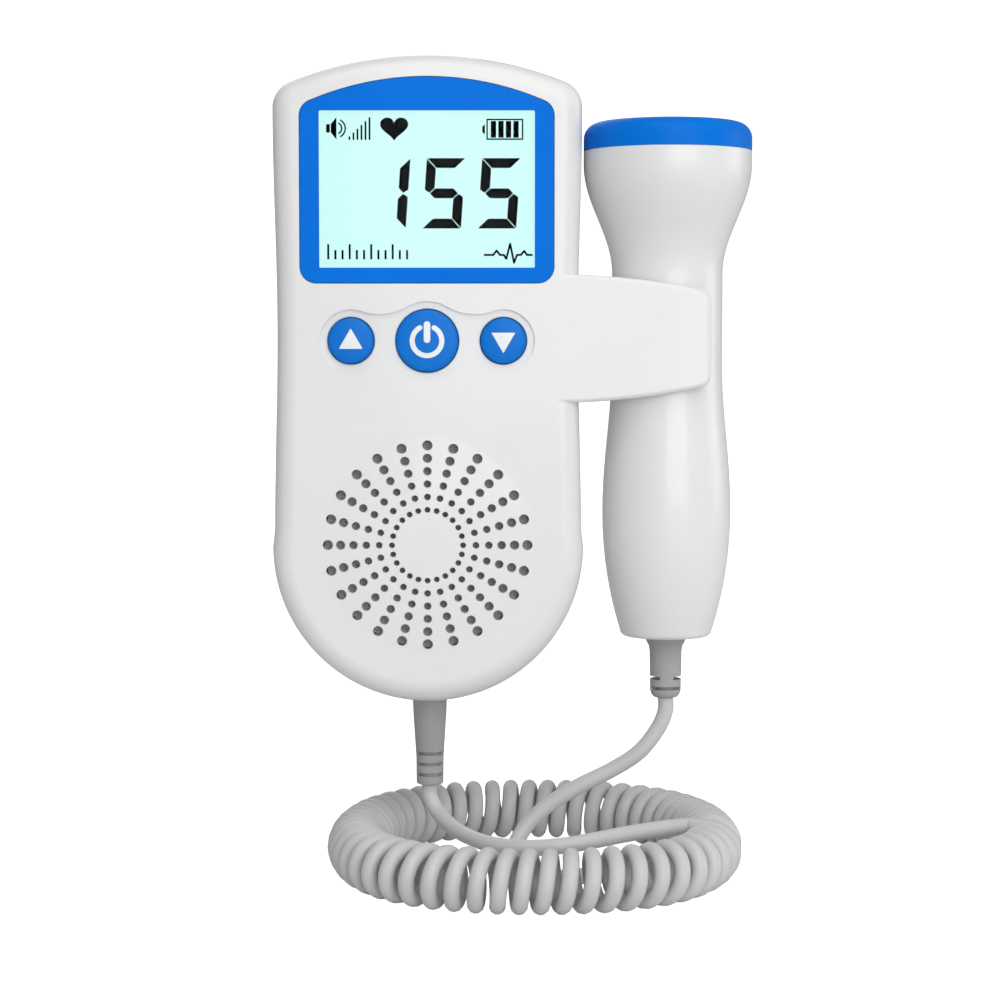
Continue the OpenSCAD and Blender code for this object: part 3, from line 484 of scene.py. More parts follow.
grille_holes = to_object("grille_holes", holes_bm)
print("grille cutter", len(grille_holes.data.polygons), "faces")

# %% [markdown]
# The keys share one shallow recess: three round lobes joined by soft concave
# waists. The middle of a waist's arc follows from the large lobe's radius and the
# waist's height, and the arc is just round enough to touch the small lobe too.

# %% Recess of the keys
key_pitch, power_r, volume_r, recess_rim = 15.8, 6.4, 4.7, 1.8
waist_h, recess_depth = 5.5, 0.6


def recess_block():
    """The recess as a cutter, from its floor out past the front."""
    bm = bmesh.new()
    big, fillet = power_r + recess_rim, 11.3
    mid_z = waist_h + fillet
    mid_x = math.sqrt((big + fillet)**2 - mid_z**2)
    first = math.degrees(math.atan2(mid_z, mid_x))
    last = math.degrees(math.atan2(mid_z, mid_x - key_pitch))
    vert = bm.verts.new((0, front_y + recess_depth, big))
    vert = spin_arc(bm, vert, (0, 0), first - 90, 12)
    vert = spin_arc(bm, vert, (mid_x, mid_z), last - first, 16)
    spin_arc(bm, vert, (key_pitch, 0), -last, 24)
    for axis in "ZX":
        bmesh.ops.mirror(bm, geom=bm.verts[:] + bm.edges[:], axis=axis, merge_dist=1e-3)
        bmesh.ops.remove_doubles(bm, verts=bm.verts, dist=1e-3)
    bmesh.ops.translate(bm, vec=(0, 0, key_z), verts=bm.verts)
    face = bmesh.ops.contextual_create(bm, geom=bm.edges[:])["faces"][0]
    push_out(bm, face, -2)
    return to_object("key_recess", bm)


# %% Holes of the keys
def key_hole(x, r):
    """A hole for a key, with a small chamfer where it meets the recess floor."""
    floor = front_y + recess_depth
    return round_tool("key_hole", [(0, floor + 3), (r + 0.2, floor + 3), (r + 0.2, floor + 0.15),
                                   (r + 0.4, floor - 0.05), (r + 0.4, floor - 1), (0, floor - 1)],
                      (x, 0, key_z), "Y", 64)


# %% [markdown]
# Now the front shell: body, clip and dome are joined, the hollow is cut out, and
# then every seat and hole in turn. Last come the posts for the screws and the
# bosses for the board.

# %% Front shell
posts = [(side * x, z, r) for side in (-1, 1) for x, z, r in ((14, 46.3, 2.7), (22.53, -58.8, 2.4))]
post_r, pilot_r, post_root = 2.4, 1.3, front_y + wall - 0.5
boss_x, boss_z, boss_r, board_y = 24.5, 1.1, 2.2, -26.3
socket_axis = (0, -21.9, -19)
keys = (("power", 0, power_r), ("volume_up", -key_pitch, volume_r),
        ("volume_down", key_pitch, volume_r))


def screen_pad(name, half_x, half_z, low_y, high_y, corner, edge=0):
    """A block about the middle of the display."""
    return pad(name, (-half_x, low_y, window_z - half_z), (half_x, high_y, window_z + half_z),
               corner, edge)


def lead_hole():
    """The hole at the foot where the lead leaves the unit."""
    return rod("lead_hole", (0, part_y, 0), 3.0, unit_low - 2, unit_low + 4, "Z", 64)


front = body_block("front_cover", front_y, part_y)
join(front, clip_block("front_arm", front_y))
join(front, dome)
carve(front, body_block("front_hollow", front_y + wall, part_y + 2, wall))
carve(front, saddle_hollow("front_saddle", front_y + saddle_wall))
carve(front, probe_channel())
seat_bm = bmesh.new()
push_out(seat_bm, outline_face(seat_bm, front_y + 1, bezel_shape, -0.1), -3)
carve(front, to_object("bezel_seat", seat_bm))
carve(front, screen_pad("window_hole", 23.4, 17.25, front_y - 1, front_y + 4, 1.2))
carve(front, recess_block())
for _, x, r in keys:
    carve(front, key_hole(x, r))
carve(front, grille_holes)
carve(front, lead_hole())
carve(front, round_tool("socket_hole", [(0, -36), (2.9, -36), (2.9, -31.9), (2.7, -31.7),
                                        (2.7, -28), (0, -28)], socket_axis, "X"))
for x, z, _ in posts:
    join(front, rod("post", (x, 0, z), post_r, post_root, part_y))
    carve(front, rod("pilot_hole", (x, 0, z), pilot_r, part_y - 9, part_y + 1))
for x in (-boss_x, boss_x):
    join(front, rod("boss", (x, 0, boss_z), boss_r, post_root, board_y))
    carve(front, rod("boss_hole", (x, 0, boss_z), 0.9, board_y - 3.5, board_y + 1))
finish_piece(front, "unit", "front_shell")

# %% [markdown]
# The rear shell is the same outline turned to the back, with the rear arm of the
# clip, the battery bay, the screw posts, and a groove and pin holes in which the
# battery door turns.

# %% Rear shell
bay_half, bay_floor, bay_low, bay_top = 15.6, -17.2, -67.3, -11.3
door_half, pivot_y, pivot_z, door_top = 17.2, -1.1, -69.4, -9.3
cell_x, cell_y = 7.75, -9.8
seat_half, pin_axis = door_half + 0.25, (0, pivot_y, pivot_z)

rear = body_block("rear_cover", 0, part_y)
join(rear, clip_block("rear_arm", 2 * part_y - front_y))
carve(rear, body_block("rear_hollow", -wall, part_y - 2, wall))
carve(rear, saddle_hollow("rear_saddle", 2 * part_y - front_y - saddle_wall))
carve(rear, probe_channel())
join(rear, pad("bay_block", (-bay_half - 2.2, part_y, bay_low - 4.7),
               (bay_half + 2.2, -wall / 2, door_top + 0.6)))
for x, z, r in posts:
    join(rear, rod("post", (x, 0, z), r, part_y, -1.1))
carve(rear, pad("bay", (-bay_half, bay_floor, bay_low), (bay_half, 1, bay_top)))
carve(rear, pad("door_seat", (-seat_half, -2.2, pivot_z), (seat_half, 1, door_top + 0.25), 0.8))
carve(rear, pad("barrel_side", (-seat_half, pivot_y, pivot_z - 1.25), (seat_half, 1, pivot_z + 1)))
carve(rear, rod("barrel_groove", pin_axis, 1.25, -seat_half, seat_half, "X"))
carve(rear, rod("pin_holes", pin_axis, 0.85, -18.5, 18.5, "X", 24))
for x in (-cell_x, cell_x):
    carve(rear, pad("tab_slot", (x - 1.3, -12.8, bay_top - 1), (x + 1.3, -12.1, door_top + 1)))
screw_hole = [(0, part_y - 2), (1.3, part_y - 2), (1.3, -2.6), (2.2, -2.6), (2.2, -0.15),
              (2.5, 0.15), (2.5, 1), (0, 1)]
for x, z, _ in posts:
    carve(rear, round_tool("screw_hole", screw_hole, (x, 0, z), "Y", 32))
carve(rear, lead_hole())
finish_piece(rear, "unit", "rear_shell")

# %% [markdown]
# The battery door has a barrel with two pins along its lower edge, a finger notch
# at its top, and five grooves under the notch where the thumb pushes.

# %% Battery door
door = pad("door_cover", (-door_half, -2.1, pivot_z), (door_half, -0.1, door_top), 0.6, 0.3)
join(door, round_tool("barrel", [(0, -18.4), (0.8, -18.4), (0.8, -17.2), (1.0, -17.2),
                                 (1.0, 17.2), (0.8, 17.2), (0.8, 18.4), (0, 18.4)],
                      pin_axis, "X", 32))
carve(door, rod("finger_notch", (0, 5.1, door_top - 5), 6, -7, 7, "X", 96))
for k in range(5):
    low_z = door_top - 15 - 1.6 * k
    carve(door, pad("thumb_groove", (-7 + 0.5 * k, -0.45, low_z), (7 - 0.5 * k, 1, low_z + 0.7),
                    0.34))
finish_piece(door, "door", "battery_door")

# %% [markdown]
# Four screws with a cross in their heads hold the shells together.

# %% Shell screws
screws_bm = bmesh.new()
for x, z, _ in posts:
    turned(screws_bm, [(0, -25.5), (0.5, -25.5), (1.25, -24.1), (1.25, -2.6), (2.1, -2.6),
                       (2.1, -1.25), (1.95, -1.05), (1.5, -1.0), (0, -1.0)], (x, 0, z), "Y", 32)
screws = to_object("cover_screws", screws_bm)
cross = pad("cross", (-1.1, -1.9, -0.18), (1.1, 0, 0.18))
join(cross, pad("cross_arm", (-0.18, -1.9, -1.1), (0.18, 0, 1.1)))
for x, z, _ in posts:
    tool = add_object("cross_slot", cross.data.copy())
    tool.data.transform(Matrix.Translation((x, 0, z)))
    carve(screws, tool)
bpy.data.objects.remove(cross)
finish_piece(screws, "unit", "shell_screws")

# %% [markdown]
# The display: a blue bezel in its seat, a clear window stepped into it, and the
# lit glass behind. The glass is the light source of the front.

# %% Bezel, window and display glass
bezel_bm = bmesh.new()
bezel_face = push_out(bezel_bm, outline_face(bezel_bm, front_y + 1, bezel_shape), -1)
round_edges(bezel_bm, bezel_face.edges, 0.25, 3)
bezel = to_object("bezel", bezel_bm)
carve(bezel, screen_pad("bezel_opening", 22.3, 16.15, front_y - 1, front_y + 2, 0.3))
finish_piece(bezel, "unit", "display_bezel")

window = screen_pad("clear_window", 22.25, 16.1, front_y + 0.05, front_y + 1.8, 0.3, 0.12)
join(window, screen_pad("window_rim", 23.25, 17.1, front_y + 1.05, front_y + 1.8, 1))
finish_piece(window, "unit", "display_window")

finish_piece(screen_pad("display_glass", 24.3, 18.15, -30.8, -29.0, 0.3, 0.15),
             "unit", "lcd_panel")

# %% [markdown]
# Keys: turned, with a rim behind the wall, a small chamfer and a low dome.

# %% Keys
def key_profile(r):
    """Radius and depth of a key, from its stem to the middle of its dome."""
    edge_y, crown, bevel_r, bevel_h = front_y - 0.35, 0.35, 0.35, 0.25
    stem_y, back_y, rim_y = -29.2, -29.9, -30.7
    low = [(0, stem_y), (2, stem_y), (2, back_y), (r + 1.1, back_y), (r + 1.1, rim_y), (r, rim_y),
           (r, edge_y + bevel_h)]
    edge = [(r - bevel_r * share, edge_y + bevel_h - bevel_h * share)
            for share in [1 - math.sin(math.radians(a)) for a in (60, 30, 0)]]
    dome_line = [((r - bevel_r) * (1 - k / 8), edge_y - crown * (1 - (1 - k / 8)**2))
                 for k in range(1, 9)]
    return low + edge + dome_line


def key_dome(r, lift):
    """The profile of a tool that follows the dome of a key, lifted a little."""
    return [(0, front_y + 0.3), (r - 0.4, front_y + 0.3)] + [
        ((r - 0.4) * (1 - k / 12), front_y - 0.35 - lift
         - 0.35 * (1 - ((r - 0.4) * (1 - k / 12) / (r - 0.35))**2)) for k in range(13)]


for name, x, r in keys:
    finish_piece(round_tool(name + "_cap", key_profile(r), (x, 0, key_z), "Y", 96),
                 name + "_key", name + "_button")


# %% Marks on the keys
def mark_on_key(mark, x, r, body):
    """Cuts a drawn mark to the key's dome, so that it stands 0.07 mm proud of it."""
    mark.data.transform(Matrix.Translation((x, 0, key_z)))
    carve(mark, round_tool("mark_dome", key_dome(r, 0.07), (x, 0, key_z), "Y", 96), "INTERSECT")
    finish_piece(mark, body)


def prism(bm, corners, near, far):
    """A plate between two depths, from the corners of its outline."""
    face = bm.faces.new([bm.verts.new((x, near, z)) for x, z in corners])
    push_out(bm, face, far - near)


mark_out, mark_in = -34.5, -33.2
gap_turn, stroke, mark_r = 28.6, 1.05, 3.07
power_mark = round_tool(
    "power_mark", band(mark_r - stroke / 2, mark_r + stroke / 2, mark_out, mark_in),
    (0, 0, 0), "Y", 64, 360 - 2 * gap_turn, gap_turn - 90)
for side in (-1, 1):
    end = (side * mark_r * math.sin(math.radians(gap_turn)), 0,
           mark_r * math.cos(math.radians(gap_turn)))
    join(power_mark, rod("ring_end", end, stroke / 2, mark_out, mark_in, "Y", 20))
join(power_mark, pad("ring_bar", (-0.675, mark_out, -0.45), (0.675, mark_in, 4.05), 0.67))
mark_on_key(power_mark, 0, power_r, "power_key")
for name, x, up, body in (("up_mark", -key_pitch, 1, "volume_up_key"),
                          ("down_mark", key_pitch, -1, "volume_down_key")):
    arrow_bm = bmesh.new()
    prism(arrow_bm, [(-2.48, -1.67 * up), (2.48, -1.67 * up), (0, 2.57 * up)], mark_in, mark_out)
    round_edges(arrow_bm, [e for e in arrow_bm.edges if span(e, "y") > 1], 0.2, 3)
    mark_on_key(to_object(name, arrow_bm), x, volume_r, body)

# %% [markdown]
# What the display shows is drawn as thin dark plates on its glass: three digits
# of seven-segment shape, a loudspeaker with bars, a heart and a battery. The two
# small places along its lower edge hold a row of ticks and a pulse trace.

# %% Digits of the display
display_bm = bmesh.new()
sign_back, sign_front = -30.7, -30.95
digit_w, digit_h, digit_t, digit_gap, slant = 8.0, 14.4, 2.0, 0.11, 0.07


def plate(corners):
    """A thin plate on the display's glass."""
    prism(display_bm, corners, sign_back, sign_front)


def segment(x, z, which):
    """One segment of a digit, named a to g clockwise from the top."""
    w, h, t, g = digit_w / 2, digit_h / 2, digit_t, digit_gap
    level = [(-w + g, h), (w - g, h), (w - g - t, h - t), (-w + g + t, h - t)]
    upright = [(-w, h - g), (-w + t, h - g - t), (-w + t, t / 2 + g), (-w + t / 2, g),
               (-w, g + t / 3)]
    middle = [(-w + t / 2 + g, 0), (-w + t + g, t / 2), (w - t - g, t / 2), (w - t / 2 - g, 0),
              (w - t - g, -t / 2), (-w + t + g, -t / 2)]
    shape = {"a": level, "d": level, "g": middle}.get(which, upright)
    flip_x = -1 if which in "bc" else 1
    flip_z = -1 if which in "cde" else 1
    plate([(x + flip_x * px + slant * flip_z * pz, z + flip_z * pz) for px, pz in shape])


for x, lit in ((-7.87, "bc"), (3.53, "afgcd"), (14.93, "afgcd")):
    for which in lit:
        segment(x, 23.85, which)


# %% Small signs of the display
def line_of(points, width):
    """A line of even width through the points, as short plates that overlap a little."""
    for (ax, az), (bx, bz) in zip(points, points[1:]):
        run = math.hypot(bx - ax, bz - az)
        sx, sz = (bx - ax) / run * width / 2, (bz - az) / run * width / 2
        plate([(ax - sz - sx * 0.6, az + sx - sz * 0.6), (bx - sz + sx * 0.6, bz + sx + sz * 0.6),
               (bx + sz + sx * 0.6, bz - sx + sz * 0.6), (ax + sz - sx * 0.6, az - sx - sz * 0.6)])


def bar(x0, z0, x1, z1):
    """An upright rectangle between two corners."""
    plate([(x0, z0), (x1, z0), (x1, z1), (x0, z1)])


bar(-20.7, 36.3, -19.95, 38.0)
plate([(-19.75, 36.3), (-18.6, 34.9), (-18.6, 39.4), (-19.75, 38.0)])
for wave_r in (1.2, 1.95):
    line_of(arc_points(-18.7, 37.15, wave_r, range(-60, 61, 20)), 0.3)
for k in range(6):
    x = -16.1 + 0.83 * k
    bar(x, 34.8, x + 0.36, 35.5 + 0.78 * k)
plate([(-6.7 + 2.9 * math.sin(t)**3,
        37.35 + 0.168 * (13 * math.cos(t) - 5 * math.cos(2 * t)
                         - 2 * math.cos(3 * t) - math.cos(4 * t)))
       for t in [math.tau * k / 48 for k in range(48)]])
plate([(11.45, 36.4), (12.0, 35.9), (12.0, 38.0), (11.45, 37.5)])
for x0, z0, x1, z1 in ((12.3, 34.8, 19.9, 35.1), (12.3, 38.8, 19.9, 39.1), (12.3, 35.12, 12.6, 38.78),
                       (19.6, 35.12, 19.9, 38.78)):
    bar(x0, z0, x1, z1)
for k in range(4):
    bar(13.2 + 1.55 * k, 35.25, 14.3 + 1.55 * k, 38.65)
for k in range(12):
    x = -20.6 + 1.48 * k
    bar(x, 10.3, x + 0.42, 13.4 if k % 3 == 0 else 12.2)
line_of([(11.9, 11.2), (13.7, 11.2), (14.4, 12.1), (15.1, 11.2), (15.9, 11.2), (16.4, 10.4),
         (17.2, 13.5), (18.0, 9.6), (18.6, 11.2), (19.4, 11.2), (20.1, 12.0), (20.7, 11.2),
         (21.7, 11.2)], 0.42)
# The signs lie behind the front, so they grow a little about the point before the camera.
to_axis = Vector((15.1, 0, -7.93))
bmesh.ops.translate(display_bm, vec=-to_axis, verts=display_bm.verts)
bmesh.ops.scale(display_bm, vec=(1.00446, 1, 1.00446), verts=display_bm.verts)
bmesh.ops.translate(display_bm, vec=to_axis, verts=display_bm.verts)
finish_piece(to_object("display_signs", display_bm), "unit")

# %% [markdown]
# The probe: two half shells turned on a lathe line that flares to the head, is
# slim at the clip and swells to a grip. Each half is cut at the parting plane and
# its outer edge is broken, so the joint shows as a fine line.

# %% Probe shells
head_r, neck_r, grip_r, tail_r = 17.85, 11.75, 13.7, 9.9
probe_low, cap_z, probe_wall = -69.6, 33.6, 1.8
flare_top, flare_low, neck_low, grip_z, tail_z = 30.8, 7.8, -11, -42.6, -68.2


def probe_r(z):
    """Radius of the probe's skin at a height."""
    if z > flare_top:
        return head_r
    if z > flare_low:
        turn = math.pi * (flare_top - z) / (flare_top - flare_low)
        return neck_r + (head_r - neck_r) * (1 + math.cos(turn)) / 2
    if z > neck_low:
        return neck_r
    if z > grip_z:
        turn = math.pi * (neck_low - z) / (neck_low - grip_z)
        return neck_r + (grip_r - neck_r) * (1 - math.cos(turn)) / 2
    return grip_r - (grip_r - tail_r) * ((grip_z - z) / (grip_z - tail_z))**2.1


skin = [(probe_r(z), z) for z in [tail_z + 101.65 * k / 70 for k in range(71)]]
lining = [(probe_r(z) - probe_wall, z) for z in [cap_z - 100.4 * k / 40 for k in range(41)]]
shell_line = ([(3.0, probe_low)] + arc_points(tail_r - 1.4, tail_z, 1.4, range(-90, 0, 15))
              + skin + [(head_r - 0.15, cap_z)] + lining
              + [(7.0, -67.8), (3.0, -67.8), (3.0, probe_low)])


def probe_half(name, side):
    """Half of the probe's shell, in front of (-1) or behind (1) the parting plane."""
    bm = bmesh.new()
    turned(bm, shell_line, probe_axis, "Z", 96)
    bmesh.ops.remove_doubles(bm, verts=bm.verts, dist=1e-4)
    bmesh.ops.bisect_plane(bm, geom=bm.verts[:] + bm.edges[:] + bm.faces[:], dist=1e-4,
                           plane_co=(0, part_y, 0), plane_no=(0, -side, 0), clear_outer=True)
    fill_holes(bm)
    bmesh.ops.recalc_face_normals(bm, faces=bm.faces)
    lip = [e for e in bm.edges if all(
        abs(v.co.y - part_y) < 1e-3 and v.co.z < cap_z - 0.1
        and abs(v.co.x - probe_x) > probe_r(max(v.co.z, tail_z)) - 0.05 for v in e.verts)]
    round_edges(bm, lip, seam, 1)
    return to_object(name, bm)


finish_piece(probe_half("probe_front", -1), "probe", "probe_front_shell")
finish_piece(probe_half("probe_back", 1), "probe", "probe_rear_shell")

# %% Cap and lens of the probe
rim_r = 14.45


def lens_top(r):
    """Height of the gently domed top at a distance from the probe's axis."""
    return 40.4 - 0.8 * (r / rim_r)**2


cap_line = ([(rim_r, 31.1), (15.95, 31.1), (15.95, cap_z), (head_r - 0.15, cap_z),
             (head_r, cap_z + 0.15)]
            + arc_points(rim_r, 36.2, 3.4, range(0, 90, 9))
            + [(rim_r, 39.6), (13.75, lens_top(13.75)), (13.6, lens_top(13.6) - 0.12),
               (13.6, 38.6), (rim_r, 38.6), (rim_r, 31.1)])
finish_piece(round_tool("cap", cap_line, probe_axis, "Z", 96), "probe", "probe_cap")
lens_line = ([(0, 38.6), (13.5, 38.6), (13.5, lens_top(13.5) - 0.2), (13.35, lens_top(13.35))]
             + [(r, lens_top(r)) for r in (12, 10, 8, 6, 4, 2, 0)])
finish_piece(round_tool("lens", lens_line, probe_axis, "Z", 96), "probe", "acoustic_lens")

# %% [markdown]
# The strain reliefs are soft mouldings with slits, so that they bend with the
# lead. The unit's has three plain rows; the probe's has a flared collar and two
# rows that are turned by a quarter against each other.

# %% Strain reliefs
def relief(body, x, low, inside, line, slits):
    """A turned relief whose neck passes through the wall to a collar inside."""
    neck = [(0, inside + 1.5), (4.6, inside + 1.5), (4.6, inside), (2.9, inside),
            (2.9, low - 0.15)]
    piece = round_tool(body + "_relief", neck + line, (x, part_y, 0), "Z", 48)
    for z, start, degrees in slits:
        carve(piece, round_tool("slit", band(2.15, 6, z - 0.36, z + 0.36), (x, part_y, 0),
                                "Z", 24, degrees, start))
    return finish_piece(piece, body, body + "_strain_relief")


unit_relief = relief("unit", 0, unit_low, unit_low + wall + 0.1 + 0.353,
                     [(3.55, unit_low - 0.15), (3.7, unit_low - 0.35), (3.58, -86.2),
                      (3.2, -92), (2.95, -96), (2.9, -101.3), (2.75, -101.65), (2.4, -101.8),
                      (0, -101.8)],
                     [(z, start, 146) for z in (-94.9, -97.2, -99.5) for start in (17, 197)])
probe_relief = relief("probe", probe_x, probe_low, probe_low + 1.9,
                      [(4.35, probe_low - 0.15), (4.5, probe_low - 0.4), (4.1, -70.9),
                       (3.6, -71.9), (3.45, -73), (3.4, -76), (3.3, -81.4), (3.0, -82.3),
                       (2.5, -82.85), (2.0, -83), (0, -83)],
                      [(-78.6, -65, 130), (-78.6, 115, 130), (-80.8, 17, 146), (-80.8, 197, 146)])

# %% The lead's facts
print("lead", round(lead_length, 3), "m")

# %% [markdown]
# Behind the battery door: two plain cells, four contact plates and two springs,
# wound as real springs are.

# %% Cells
for name, x, flat_z, up in (("left", -cell_x, -62.1, 1), ("right", cell_x, -16.5, -1)):
    line = [(0, 0), (6.5, 0), (6.7, 0.15), (6.9, 0.25), (7.2, 0.6), (7.2, 48.7), (6.9, 49.1),
            (6.2, 49.3), (5.4, 49.3), (5.2, 49.1), (3.0, 49.1), (2.7, 49.3), (2.7, 50.1),
            (2.5, 50.3), (0, 50.3)]
    finish_piece(round_tool("cell_" + name, [(r, flat_z + up * h) for r, h in line],
                            (x, cell_y, 0)), "unit", "battery_cell_" + name)


# %% Contacts and springs
def spring(bm, x, z, up):
    """Four and a half turns of spring wire that stand on a contact plate."""
    wire_r, turns, mean_r, high, steps = 0.32, 4.5, 2.85, 4.7, 108
    made = bmesh.ops.create_circle(bm, cap_ends=False, segments=8, radius=wire_r)["verts"]
    bmesh.ops.rotate(bm, cent=(0, 0, 0), matrix=Matrix.Rotation(math.radians(90), 3, "X"),
                     verts=made)
    bmesh.ops.translate(bm, vec=(x + mean_r, cell_y, z + up * wire_r), verts=made)
    edges = list(dict.fromkeys(e for v in made for e in v.link_edges))
    lift = up * (high - 2 * wire_r) / steps
    done = bmesh.ops.spin(bm, geom=made + edges, cent=(x, cell_y, z), axis=(0, 0, 1),
                          angle=math.tau * turns, steps=steps, dvec=(0, 0, lift))
    ends = edges + [g for g in done["geom_last"] if isinstance(g, bmesh.types.BMEdge)]
    bmesh.ops.holes_fill(bm, edges=ends)


def contact(bm, x, z, up):
    """A square contact plate with clipped corners."""
    made = block(bm, (10, 10, 0.5), (x, cell_y, z + up * 0.25))
    corners = dict.fromkeys(e for v in made for e in v.link_edges if span(e, "z") > 0.4)
    round_edges(bm, corners, 0.8, 1)


spring_bm, plate_bm = bmesh.new(), bmesh.new()
for x, z, up in ((-cell_x, bay_low, 1), (cell_x, bay_top, -1)):
    contact(spring_bm, x, z, up)
    spring(spring_bm, x, z + up * 0.5, up)
    contact(plate_bm, -x, z, up)
for name, bm, x in (("spring_contacts", spring_bm, cell_x), ("plate_contacts", plate_bm, -cell_x)):
    block(bm, (2.4, 0.5, 4.1), (x, -12.45, -9.75))  # the solder tab, through its slot
    finish_piece(to_object(name, bm), "unit", "battery_" + name)

# %% Headphone socket
socket = pad("socket", (-29.2, -24.7, -21.8), (-18.5, -19.1, -16.2), 0.4, 0.2)
join(socket, round_tool("socket_nose", [(0, -31.5), (2.35, -31.5), (2.6, -31.25), (2.6, -27),
                                        (0, -27)], socket_axis, "X", 48))
carve(socket, round_tool("plug_hole", [(0, -33), (2.15, -33), (2.15, -31.5), (1.8, -31.15),
                                       (1.8, -19.5), (0, -19.5)], socket_axis, "X", 48))
finish_piece(socket, "unit", "headphone_socket")

# %% [markdown]
# Materials. Three effects are shared: the fine grain and faint unevenness of a
# moulding, the over-and-under of woven threads, and the fine lines of drawn
# metal. Each is a node group that gives colours, roughness and heights; the
# shader stays in the material.

# %% Node helpers
def colour_of(r, g, b):
    """The linear colour of three screen values from 0 to 255."""
    return tuple(((c / 255 + 0.055) / 1.055)**2.4 for c in (r, g, b))


def feed(tree, node, values):
    """Sets inputs of a node; an output given as a value is linked."""
    for socket, value in values.items():
        if isinstance(value, bpy.types.NodeSocket):
            tree.links.new(value, node.inputs[socket])
        else:
            node.inputs[socket].default_value = value
    return node


def add(tree, kind, values=None, **properties):
    """A new node with its settings and inputs."""
    node = tree.nodes.new("ShaderNode" + kind)
    for name, value in properties.items():
        setattr(node, name, value)
    return feed(tree, node, values or {})


def maths(tree, how, a, b=0.0):
    """The result of one Math node."""
    return add(tree, "Math", {0: a, 1: b}, operation=how).outputs[0]


def blend_colour(tree, share, a, b):
    """A mix of two colours."""
    return add(tree, "Mix", {0: share, 6: a, 7: b}, data_type="RGBA").outputs[2]


def noise(tree, place, scale, detail, roughness=0.5):
    """The value of a noise texture."""
    return add(tree, "TexNoise", {"Vector": place, "Scale": scale, "Detail": detail,
                                  "Roughness": roughness}).outputs["Fac"]


def new_group(name, inputs, outputs):
    """An empty node group, what it is given and its output node."""
    tree = bpy.data.node_groups.new(name, "ShaderNodeTree")
    for way, labels in (("INPUT", inputs), ("OUTPUT", outputs)):
        for label, kind in labels.items():
            tree.interface.new_socket(label, in_out=way, socket_type="NodeSocket" + kind)
    return tree, tree.nodes.new("NodeGroupInput").outputs, tree.nodes.new("NodeGroupOutput")


# %% Shared effects
moulding, given, out = new_group(
    "moulding_grain",
    {"Place": "Vector", "Colour": "Color", "Shade": "Color", "Grain": "Float",
     "Clouds": "Float", "Roughness": "Float", "Spread": "Float"},
    {"Colour": "Color", "Roughness": "Float", "Height": "Float"})
clouds = noise(moulding, given["Place"], given["Clouds"], 3.0, 0.6)
share = add(moulding, "MapRange", {"Value": clouds, "From Min": 0.35, "From Max": 0.65})
uneven = maths(moulding, "MULTIPLY", maths(moulding, "SUBTRACT", clouds, 0.5), given["Spread"])
feed(moulding, out, {
    "Colour": blend_colour(moulding, share.outputs[0], given["Colour"], given["Shade"]),
    "Roughness": maths(moulding, "ADD", given["Roughness"], uneven),
    "Height": noise(moulding, given["Place"], given["Grain"], 1.0)})

weave, given, out = new_group("woven_threads", {"Place": "Vector", "Threads": "Float"},
                              {"Height": "Float", "Gap": "Float"})
place = add(weave, "VectorMath", {0: given["Place"], "Scale": given["Threads"]},
            operation="SCALE").outputs[0]
parts = add(weave, "SeparateXYZ", {0: place}).outputs
across, upward = (maths(weave, "SINE", maths(weave, "MULTIPLY", parts[axis], math.pi))
                  for axis in "XZ")
over = maths(weave, "GREATER_THAN", maths(weave, "MULTIPLY", across, upward), 0.0)
warp, weft = maths(weave, "ABSOLUTE", across), maths(weave, "ABSOLUTE", upward)
feed(weave, out, {
    "Height": add(weave, "Mix", {0: over, 2: warp, 3: weft}, data_type="FLOAT").outputs[0],
    "Gap": maths(weave, "LESS_THAN", maths(weave, "MAXIMUM", warp, weft), 0.55)})

drawn, given, out = new_group(
    "drawn_lines", {"Place": "Vector", "Fineness": "Float", "Roughness": "Float"},
    {"Roughness": "Float", "Height": "Float"})
lines = noise(drawn, given["Place"], given["Fineness"], 4.0, 0.7)
feed(drawn, out, {"Height": lines, "Roughness": maths(
    drawn, "ADD", given["Roughness"], maths(drawn, "MULTIPLY", lines, 0.25))})


# %% Materials of mouldings
def new_material(name):
    """An empty material, its tree, its shader and the object's own coordinates."""
    material = bpy.data.materials.new(name)
    material.use_nodes = True
    tree = material.node_tree
    return material, tree, tree.nodes["Principled BSDF"], add(tree, "TexCoord").outputs["Object"]


def bump(tree, height, depth):
    """The normal that a height gives; depth is in metres."""
    return add(tree, "Bump", {"Height": height, "Strength": 1.0, "Distance": depth}).outputs[0]


def moulded(name, colour, shade, roughness, grain=2600, clouds=55, depth=4e-6, **plain):
    """A moulded plastic or rubber; further values go to the shader's own sockets."""
    material, tree, shader, place = new_material(name)
    group = add(tree, "Group", {
        "Place": place, "Colour": (*colour, 1), "Shade": (*shade, 1), "Grain": grain,
        "Clouds": clouds, "Roughness": roughness, "Spread": 0.1}, node_tree=moulding).outputs
    feed(tree, shader, {"Base Color": group["Colour"], "Roughness": group["Roughness"],
                        "Normal": bump(tree, group["Height"], depth)})
    feed(tree, shader, {socket.replace("_", " "): value for socket, value in plain.items()})
    material.diffuse_color = (*colour, 1)
    return material


